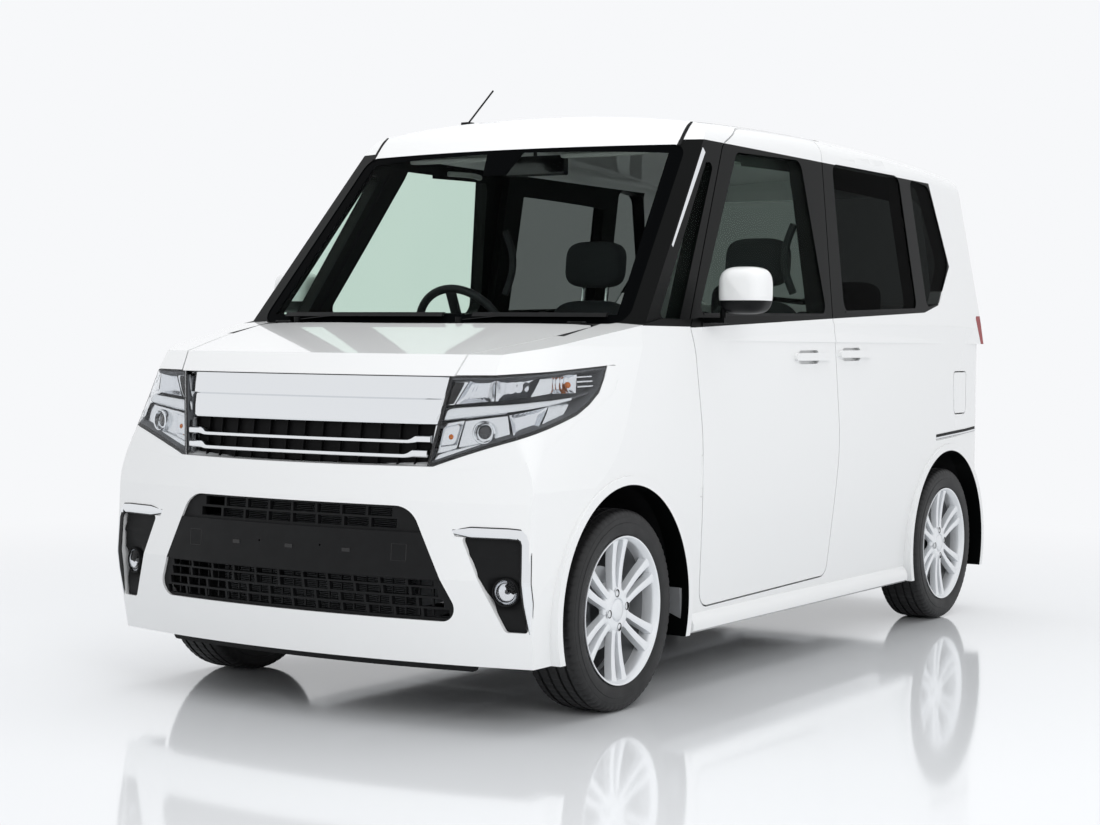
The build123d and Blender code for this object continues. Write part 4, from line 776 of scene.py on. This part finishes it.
def lower_grille_details():
    """Blank tablets and square outlines on the plate band, and upright fins behind the lower mesh."""
    parts = []
    for x in (-190, 0, 190):
        path = front_point(x + np.array([-13, 0, 13.0]), 462.0, 0.6)
        parts += bar(path, (0, 0, 1), oval(3, 12, 8, 0.4), BLACK_GLOSS)
    for x in (-352, 352):
        # the small shift keeps the doubled corner points apart
        ring = [(x - 22, 442), (x + 22, 442), (x + 22, 486), (x - 22, 486), (x - 22, 442)]
        ring = np.array([np.array(a) * (1 - t) + np.array(b) * t for a, b in zip(ring, ring[1:])
                         for t in np.linspace(0, 1, 6)])
        path = front_point(ring[:, 0], ring[:, 1], 0.4) + np.linspace(0, 1e-3, len(ring))[:, None]
        parts += bar(path, (0, -1, 0), oval(2, 1.6, 6), BLACK_GLOSS)
    for z in np.arange(300, 400, 26):
        for x in np.arange(-440, 441, 40):
            # fins stand 26 mm behind the nose, on a plan curve of 178 mm at 1 m out
            y = FRONT + 26 + (x / 1000.0) ** 2 * 178
            front = xyz(np.array([[x - 2], [x + 2]]), y, np.array([[z, z + 18]]))
            parts += shell(front, front + (0, 6, 0), BLACK_PLASTIC)
    piece("lower_grille_details", parts, "body")


def fog_lamps():
    """Both fog lamps: a bright bracket over its outer corner, a ribbed dark insert and a round lamp."""
    path = resampled([(498, 525), (560, 525), (660, 525), (690, 523), (701, 514), (706, 500), (708, 440),
                      (710, 350), (711, 266)], 90)
    grow = np.minimum(1, 0.25 + np.minimum(np.arange(90) / 14, (89 - np.arange(90)) / 14))
    spine = front_point(path[:, 0], path[:, 1], 3.0)
    outward = front_point(path[:, 0], path[:, 1], -3.0) - spine
    outward /= np.linalg.norm(outward, axis=1)[:, None]
    parts = bar(spine, outward, oval(26, 14, 16, 0.5), CHROME, grow)
    parts += bar(spine + outward * -0.6, outward, oval(31, 11, 16, 0.4), SEAL, grow)

    edges = np.array([(528, 514), (692, 514), (704, 268), (642, 268)], float)
    at = quad(edges, 30, 40)
    v = np.linspace(0, 1, 40)[None, :] * np.ones((30, 1))
    ribs = 5 * np.exp(-((v - 0.2) / 0.035) ** 2) + 5 * np.exp(-((v - 0.42) / 0.035) ** 2)
    well = 22 * np.exp(-(((at[..., 0] - 657) / 44) ** 4 + ((at[..., 1] - 373) / 44) ** 4))
    sheet = front_point(at[..., 0], at[..., 1], 13 - ribs + well)
    back = front_point(at[..., 0], at[..., 1], 40)
    parts += shell(sheet, back, BLACK_PLASTIC)
    eye = front_point(657.0, 373.0, 14)
    way = (0.35, -1.0, 0)
    ring = lathe([(-20, 37), (2, 37), (4, 34), (0, 32), (-20, 32)], BLACK_PLASTIC, 48)
    bowl = lathe([(-2, 32), (-10, 27), (-16, 16), (-18, 0.1)], REFLECTOR, 40)
    bulb = lathe(dome(-18, 9, 7, 3.1, 10), DARK_LENS, 20)
    cover = lathe(dome(-2, 9, 32, np.pi / 2, 12), LENS, 40)
    parts += turned_to([ring, bowl, bulb], eye, way)
    piece("fog_lamp_pieces", mirrored(parts), "body", ["fog_lamps"], 45)
    glass = piece("fog_lamp_lenses", mirrored(turned_to([cover], eye, way)), "body")
    glass.visible_shadow = False


# ---- wheels and tyres
WHEELS = [("front_left", 1, FRONT_AXLE), ("front_right", -1, FRONT_AXLE),
          ("rear_left", 1, REAR_AXLE), ("rear_right", -1, REAR_AXLE)]


def tyre_patch(count=288):
    """A tyre about X: its section carried round, with ring grooves and notched shoulders."""
    side = [(70, 207.5), (76, 208), (80.5, 216), (82.3, 232), (82.4, 242), (80.6, 243.5), (80.8, 250),
            (80.0, 258), (79.2, 258.6), (78.8, 266), (76.0, 272), (72.0, 275.5), (68.5, 277.6), (63, 278.8),
            (57, 279.6)]
    tread = []
    for centre in (46, 16):
        tread += [(centre + 4.2, 280.4), (centre + 3.6, 274), (centre - 3.6, 274), (centre - 4.2, 280.4)]
    half = side + tread + [(0.0, 280.8)]
    rows = np.array(half + [(-x, r) for x, r in half[-2::-1]])
    x, r = rows[:, 0][:, None], rows[:, 1][:, None]
    t = round_angles(count)[None, :]
    notch = (np.mod(np.arange(count), 4) == 0)[None, :] * (abs(x) > 54) * (r > 262)
    sipe = (np.mod(np.arange(count) + 2, 4) == 0)[None, :] * (abs(x) < 42) * (r > 279)
    deep = r - 3.2 * notch - 1.6 * sipe
    return patch(xyz(x, deep * np.cos(t), deep * np.sin(t)), RUBBER, (False, True))


def spoke(angle, lean):
    """One spoke about X: a curved face between hub and rim, thick behind, widening at both ends."""
    s = np.linspace(0, 1, 22)[:, None]
    w = np.array([-1.15, -1.0, -0.93, -0.55, 0.0, 0.55, 0.93, 1.0, 1.15])[None, :]
    drop = np.array([-20.0, -6.0, -1.6, -0.4, 0.0, -0.4, -1.6, -6.0, -20.0])[None, :]
    radius = 44 + s * 154
    foot, tip = np.clip((0.16 - s) / 0.16, 0, 1), np.clip((s - 0.86) / 0.14, 0, 1)
    half = 9.4 + 3.4 * s ** 2 + 6.0 * tip ** 2 + 5 * foot
    shift = lean * (12.5 + 16.0 * s)
    face = 60 + 11.5 * s - 9 * np.sin(np.pi * s) * 0.55
    y = shift + w * half
    x = face + drop * (1 + 0.2 * s)
    a = np.radians(angle)
    return xyz(x, y * np.cos(a) - radius * np.sin(a), y * np.sin(a) + radius * np.cos(a))


def wheel_patches(drum):
    """A silver wheel about X: barrel and lip, hub face, six pairs of spokes, nuts, and the brake behind;
    painted shade darkens the barrel's inner band, the nut wells and, with a dark plate behind the brake, the
    view between the spokes.
    """
    barrel = [(-30, 192.4), (-74, 192.5), (-74, 206), (-70, 206.5), (-64, 199), (-30, 197), (20, 196),
              (60, 198), (72, 203), (79, 206.8), (80.8, 206.4), (80.9, 203.5), (79.5, 201.5), (74, 199.5),
              (69, 195), (60, 192.5), (30, 192.4)]
    # the barrel's inner face from -30 to 30 mm is grey: painted shade inside the silver barrel
    parts = [lathe(barrel, SILVER, 144), lathe([(30, 192.4), (-30, 192.4)], PAINTED_SHADE_GREY, 144)]
    # a dark plate behind the brake, as wide as the wheel: the brake's dust shield, and painted shade for the
    # view between the spokes
    parts.append(lathe([(-40, 60), (-40, 150), (-44, 191), (-48, 191), (-46, 60)], STEEL, 96))
    hub = [(40, 66), (50, 66), (57, 62), (61, 54), (62.5, 44), (61, 34), (57.5, 32), (57.5, 30.5), (60, 30),
           (63.5, 26), (65.0, 14), (65.4, 0.1)]
    parts.append(lathe(hub, SILVER, 96))
    for i in range(6):
        for lean in (-1, 1):
            parts.append(patch(spoke(60 * i, lean), SILVER))
    for i in range(4):
        a = np.radians(8 + 90 * i)
        at = (0, -48 * np.sin(a), 48 * np.cos(a))
        # the nut wells are black for the shade in them: painted shade
        well = lathe([(63.4, 11.5), (63.6, 9.6), (50, 9.2), (46, 0.1)], BLACK_PLASTIC, 28, at)
        nut = lathe([(46, 7.6), (58, 7.6), (60, 6.0), (60.5, 0.1)], CHROME, 6, at)
        collar = lathe([(61.0, 13.0), (63.2, 12.6), (63.4, 11.5)], SILVER, 28, at)
        parts += [well, nut, collar]
    if drum:
        brake = [(-14, 70), (-14, 117.5), (-10, 118), (18, 117), (20, 112), (20, 66), (24, 40)]
        parts.append(lathe(brake, CAST, 72))
    else:
        brake = [(-14, 62), (-14, 118), (-4.2, 118), (-4.0, 74), (14, 72), (16, 60), (24, 40)]
        parts.append(lathe(brake, DISC, 96))
    return parts


def wheels():
    """The four tyres and wheels, each riding its own wheel body."""
    rubber = tyre_patch()
    for corner, side, axle in WHEELS:
        centre = np.array([side * HALF_TRACK, axle, TYRE_R])
        parts = [(p * (side, 1, 1) + centre, finish, wrap)
                 for p, finish, wrap in wheel_patches(corner.startswith("rear"))]
        piece(f"alloy_wheel_{corner}", parts, f"wheel_{corner}", [f"rim_{corner}"], 38)
        points, finish, wrap = rubber
        tyre = [patch(points + centre, finish, wrap)]
        piece(f"road_tyre_{corner}", tyre, f"wheel_{corner}", [f"tyre_{corner}"], 28)


# ---- seats and cabin
def seat_piece(name, x, y, z, width, back_top, lean, hides, raised_by=0):
    """One upholstered seat: cushion with side rolls, leaned back with side rolls, and a head restraint."""
    middle = (z + 90 + back_top) / 2
    tall = back_top - z - 60
    slope = np.tan(np.radians(lean))
    # size, place, tilt, squareness and crown of each cushion
    rows = [((width - 90, 500, 118), (x, y + 255, z + 75), 3, 0.45, 8),
            ((width - 130, 96, tall), (x, y + 515, middle), -lean, 0.42, 10)]
    posts = []
    for side in (-1, 1):
        rows += [((100, 490, 132), (x + side * (width / 2 - 52), y + 255, z + 80), 3, 0.5, 0),
                 ((92, 118, tall - 40), (x + side * (width / 2 - 52), y + 507, middle - 10), -lean, 0.5, 0)]
        h = np.linspace(0, 90 + raised_by, 6)
        post = xyz(x + side * 50, y + 511 + slope * (back_top - middle + h), back_top - 20 + h)
        posts += bar(post, (0, 1, 0), oval(11, 11), CHROME)
    head_y = y + 511 + slope * (back_top + 115 - middle)
    rows.append(((238, 86, 168), (x, head_y, back_top + 112 + raised_by), -lean * 0.6, 0.55, 0))
    cushions = [patch(cushion(size, centre, tilt, edge, crown=crown), CLOTH)
                for size, centre, tilt, edge, crown in rows]
    made = piece(name, cushions + posts, "body", hides, 60)


def cabin():
    """Seats and their bases, grab handles on the pillars and rails, and sun visors."""
    seat_piece("driver_seat", -330, -120, 420, 500, 1150, 10, ["front_seats"], 42)
    seat_piece("passenger_seat", 330, -120, 420, 500, 1150, 10, [], 42)
    seat_piece("rear_seat_right", -245, 890, 430, 486, 1070, 9, ["rear_seat"])
    seat_piece("rear_seat_left", 245, 890, 430, 486, 1070, 9, [])
    bases = [patch(cushion((380, 330, 130), (x, 120, 357), 0, 0.2), TRIM_PLASTIC) for x in (-330, 330)]
    piece("seat_bases", bases, "body")
    t = np.linspace(0, 1, 24)
    bow = np.sin(np.pi * t)
    parts = bar(xyz(576 - 34 * bow, 236, 1190 + 230 * t), (0, 1, 0), oval(26, 20, 12, 0.8), TRIM_PLASTIC)
    parts += bar(xyz(560 - 30 * bow, -150 + 190 * t, 1598), (0, 0, 1), oval(22, 18, 12, 0.8), PALE_TRIM)
    piece("grab_handles", mirrored(parts), "body")
    visors = [patch(cushion((330, 150, 18), (x, -470, 1618), 14, 0.3), PALE_TRIM) for x in (-290, 290)]
    piece("sun_visors", visors, "body")


# ---- outside trim
def upper_side_x(y, z):
    """The side above the belt: an 8.1 degree lean under the rail, on the roof's own fore-and-aft arc."""
    level = np.hypot(y - ROOF_MIDDLE, z + ROOF_ARC) - ROOF_ARC
    return 719.9 - (level - 1068.0) * np.tan(np.radians(8.1))


def side_point(y, z, out=0.0):
    """A point of the left side by y and height, moved out."""
    return xyz(np.minimum(side_x(z), upper_side_x(y, z) + np.where(z < 1040, 100, 0)) + out, y, z)


def outside_trim():
    """Pillar strip, weather strips, roof mouldings, slide rails, mud flaps whose grey is painted shade on white
    spats and, as a piece apart, skirts.
    """
    t = np.linspace(0, 1, 30)
    strip = xyz(642.7 + 40.4 * t, -538 - 263 * t, 1600 - 300 * t)
    parts = bar(strip, (1, 0, 0), oval(22, 3, 10, 0.5), CHROME, 1.0 - 0.55 * t)
    for (y0, z0), (y1, z1) in (((-655, 1105), (205, 1118)), ((362, 1130), (985, 1150))):
        belt = side_point(y0 + (y1 - y0) * t, z0 + (z1 - z0) * t, -1.0)
        parts += bar(belt, (1, 0, 0), oval(9, 6, 8, 0.6), BLACK_PLASTIC)
    # the roof moulding climbs from the windscreen's corner, then follows the roof's arc
    y = np.concatenate([[-566, -557, -548, -531, -518, -504], np.linspace(-486, 1420, 40)])
    z = 1709.8 - (y - ROOF_MIDDLE) ** 2 / 36000
    z[:6] = [1614, 1622, 1632, 1651, 1665, 1678]
    parts += bar(xyz(571, y, z), (0, 0, 1), oval(13, 6, 8, 0.6), BLACK_PLASTIC)
    y = 1156 + 440 * t
    x = np.interp(y, [1156, 1440, 1480, 1540, 1600], [720.5, 720.5, 719.6, 715.2, 710.8])
    for out, drop, high, finish in ((0.8, 0, 18, BLACK_PLASTIC), (2.4, 4, 7, SATIN)):
        rail = xyz(x + out, y, 681 + (y - 1151) * 0.045 - drop)
        parts += bar(rail, (1, 0, 0), oval(high, 3, 10, 0.5), finish)
    # the flaps are white spats; their grey is painted shade
    flap = quad([(-785, 312), (-752, 305), (-752, 196), (-772, 196)], 10, 10)
    flap = xyz(652, flap[..., 0], flap[..., 1])
    parts += shell(flap, flap + (62, -6, 0), PAINTED_SHADE_GREY)
    piece("side_trim", mirrored(parts), "body")

    section = [(-20, -30), (-12, -33), (10, -33), (20, -26), (21, -8), (14, 10), (2, 22), (-16, 26)]
    sill = bar(xyz(712, -735 + 1625 * t, 206), (0, 0, 1), section, WHITE_PAINT)
    piece("side_skirts", mirrored(sill), "body")


def door_mirrors():
    """Mirror housings: a superellipse about y that swells back from a blunt nose, with glass in its rear."""
    a = round_angles(96)[:, None]
    axis_x, axis_z, half_width, half_height = 836, 1176, 75.8, 69.4
    across = half_width * np.sign(np.cos(a)) * abs(np.cos(a)) ** (2 / 3.4)
    lift = half_height * np.sign(np.sin(a)) * abs(np.sin(a)) ** (2 / 3.4)
    t = np.linspace(0, 1, 26)
    y = np.concatenate([-692.5 + 62 * t, [-616, -606, -602.2, -603, -612]])
    size = np.concatenate([(1 - (1 - t) ** 3.0) ** (1 / 3.0) + 0.001, [1.0, 0.985, 0.95, 0.92, 0.9]])
    cap = xyz(axis_x + across * size, y, axis_z + lift * size)
    t = np.linspace(0, 0.9, 12)
    face = xyz(axis_x + across * t, y[-1], axis_z + lift * t)
    for name, side in (("left", 1), ("right", -1)):
        parts = [patch(cap * (side, 1, 1), MIRROR_PAINT, (True, False)),
                 patch(face * (side, 1, 1), MIRROR_GLASS, (True, False))]
        piece(f"mirror_housing_{name}", parts, f"mirror_{name}", [f"mirror_{name}"], 50)


def tail_y(z):
    """How far back the tail lies at a height, by straight runs."""
    return np.interp(z, [260, 520, 640, 1120, 1640, 1760], [1697.5, 1697.5, 1675.5, 1657.5, 1579.5, 1547.5])


def tail_slab(corners, y, thick, finish, n=12, m=8):
    """A thin plate that faces the rear: corners (x, z), and its face's y as a function of height."""
    x, z = np.moveaxis(quad(corners, n, m), -1, 0)
    face = xyz(x, y(z), z)
    return shell(face, face - (0, thick, 0), finish)


def rear_trim():
    """Blank plate, garnish, wiper and stop lamp on the tailgate; reflectors and step on the bumper."""
    t = np.linspace(-1, 1, 40)
    parts = bar(xyz(300 * t, tail_y(966) + 2, 966), (0, 0, 1), oval(16, 34, 12, 0.5), CHROME)
    plate = [(-165, 770), (165, 770), (165, 935), (-165, 935)]
    recess = [(-230, 752), (230, 752), (214, 948), (-214, 948)]
    parts += tail_slab(plate, lambda z: tail_y(z) + 8, 9, WHITE_PAINT)
    parts += tail_slab(recess, lambda z: tail_y(z) + 1, 3, BLACK_PLASTIC)
    arm = xyz(-180 - 150 * t, tail_y(1220 + 30 * t) + 12, 1205 + 15 * t)
    parts += bar(arm, (0, 1, 0), oval(16, 9, 8), BLACK_PLASTIC, 1.2 - 0.3 * t)
    boss = lathe([(-12, 22), (8, 22), (12, 16), (13, 0.1)], BLACK_PLASTIC, 28)
    parts += turned_to([boss], (-30, tail_y(1190) + 4, 1190), (0, 1, 0))
    parts += bar(xyz(150 * t, tail_y(1668) + 1, 1668), (0, 0, 1), oval(8, 15, 10, 0.5), RED_LAMP)
    piece("tailgate_trim", parts, "tailgate")

    strips = []
    for x in (-560, 560):
        strips += bar(xyz(x + 60 * t, 1695.3, 380), (0, 0, 1), oval(4, 26, 10, 0.5), RED_LAMP)
    step = [(-520, 196), (520, 196), (500, 276), (-500, 276)]
    strips += tail_slab(step, lambda z: 1697.2, 4, BLACK_PLASTIC, 30, 6)
    piece("rear_bumper_trim", strips, "body")


def paint_cad():
    """Finishes for the CAD nodes that are shown as they are; those not named are black plastic."""
    table = [
        (BAND_PAINT, "side_left side_right door_left door_right slide_door_left slide_door_right"),
        (WHITE_PAINT, "fenders front_bumper rear_bumper fuel_lid roof tailgate"),
        (BONNET_PAINT, "bonnet"),
        (MIRROR_PAINT, "mirror_left mirror_right"),
        (WINDSCREEN, "windscreen"),
        (GREEN_GLASS, "door_glass_left door_glass_right"),
        (FIXED_GLASS, "fixed_glass"),
        (PRIVACY_GLASS, "slide_door_glass tailgate_glass"),
        (RED_LAMP, "tail_lamps"),
        (CAST, "engine knuckle_left knuckle_right"),
        (CONDENSER, "radiator"),
        (TRIM_PLASTIC, "steering_wheel steering_column dashboard"),
        (BLACK_GLOSS, "inside_mirror"),
        (STEEL, "floor_pan body_rails front_subframe front_struts rear_axle rear_springs"),
        (DISC, "exhaust")]
    finishes = dict.fromkeys(nodes, BLACK_PLASTIC)
    for finish, names in table:
        finishes.update(dict.fromkeys(names.split(), finish))
    for name, finish in finishes.items():
        mesh = nodes[name].data
        mesh.materials.clear()
        mesh.materials.append(finish)
        if "glass" in name or name == "windscreen":
            nodes[name].visible_shadow = False


# ---- floor, light and camera
def stage_floor():
    """A wide polished floor that fades to the backdrop far out."""
    half = 60.0
    mesh = bpy.data.meshes.new("floor")
    corners = [(-half, -half, 0), (half, -half, 0), (half, half, 0), (-half, half, 0)]
    mesh.from_pydata(corners, [], [(0, 1, 2, 3)])
    skin = Skin("polished_white_floor", {"Base Color": "#eceef0", "Roughness": 0.07, "IOR": 1.45})
    tree = skin.tree
    far = add(tree, "ShaderNodeVectorMath", {"operation": "LENGTH", 0: skin.place})
    fade = add(tree, "ShaderNodeMapRange", {
        "interpolation_type": "SMOOTHSTEP", "Value": far.outputs["Value"], "From Min": 2.0, "From Max": 5.5})
    glow = add(tree, "ShaderNodeEmission", {"Color": linear(BACKDROP)})
    mix = add(tree, "ShaderNodeMixShader", {
        0: fade.outputs["Result"], 1: skin.shader.outputs[0], 2: glow.outputs[0]})
    tree.links.new(mix.outputs[0], tree.nodes["Material Output"].inputs["Surface"])
    mesh.materials.append(skin.material)
    floor = placed("floor", mesh)


def studio_world():
    """A white room: what the camera, mirrors and glass see is brighter than what lights the car."""
    world = bpy.data.worlds.new("studio")
    bpy.context.scene.world = world
    world.use_nodes = True
    tree = world.node_tree
    back = tree.nodes["Background"]
    path = add(tree, "ShaderNodeLightPath")
    seen = Value(tree, path.outputs["Is Camera Ray"])
    for ray in ("Is Transmission Ray", "Is Glossy Ray"):
        seen = seen.through("MAXIMUM", path.outputs[ray])
    strength = add(tree, "ShaderNodeMapRange", {"Value": seen, "To Min": 0.72, "To Max": 1.0})
    back.inputs["Color"].default_value = linear(BACKDROP)
    tree.links.new(strength.outputs["Result"], back.inputs["Strength"])


def soft_light(name, place, aim, side, power):
    """A large square lamp that the camera, mirrors and glass don't see."""
    lamp = bpy.data.lights.new(name, "AREA")
    lamp.shape = "RECTANGLE"
    lamp.size = lamp.size_y = side
    lamp.energy = power
    made = placed(name, lamp)
    made.location = place
    made.rotation_euler = (Vector(aim) - Vector(place)).to_track_quat("-Z", "Y").to_euler()
    made.visible_camera = made.visible_glossy = made.visible_transmission = False


def main_camera():
    """A long-lens view, 32.05 degrees round from the nose and 1.98 degrees up, rolled 0.576."""
    az, el, roll = np.radians([32.05, 1.98, 0.576])
    back = Vector((np.sin(az) * np.cos(el), -np.cos(az) * np.cos(el), np.sin(el)))
    level = Vector((0, 0, 1)).cross(back).normalized()
    up = back.cross(level)
    axes = (level * np.cos(roll) + up * np.sin(roll), up * np.cos(roll) - level * np.sin(roll), back)
    lens = bpy.data.cameras.new("camera")
    lens.sensor_fit = "HORIZONTAL"
    lens.sensor_width = 36.0
    # focal length as frame widths times the sensor's width
    lens.lens = 2057.0 / 1100.0 * lens.sensor_width
    lens.clip_end = 200.0
    camera = placed("camera", lens)
    camera.matrix_world = Matrix.Translation((3.5448, -6.0281, 1.0216)) @ Matrix(axes).transposed().to_4x4()
    bpy.context.scene.camera = camera


for build in (paint_cad, lamp_surround, headlamps, grille, lower_grille_details, fog_lamps, wheels, cabin,
              outside_trim, door_mirrors, rear_trim, stage_floor, studio_world, main_camera):
    build()
soft_light("overhead", (0, 0, 6), (0, 0, 0), 6, 170)
soft_light("front_left", (5, -5, 3.5), (0, -0.6, 0.6), 3, 130)
bpy.context.scene.view_settings.view_transform = "Standard"
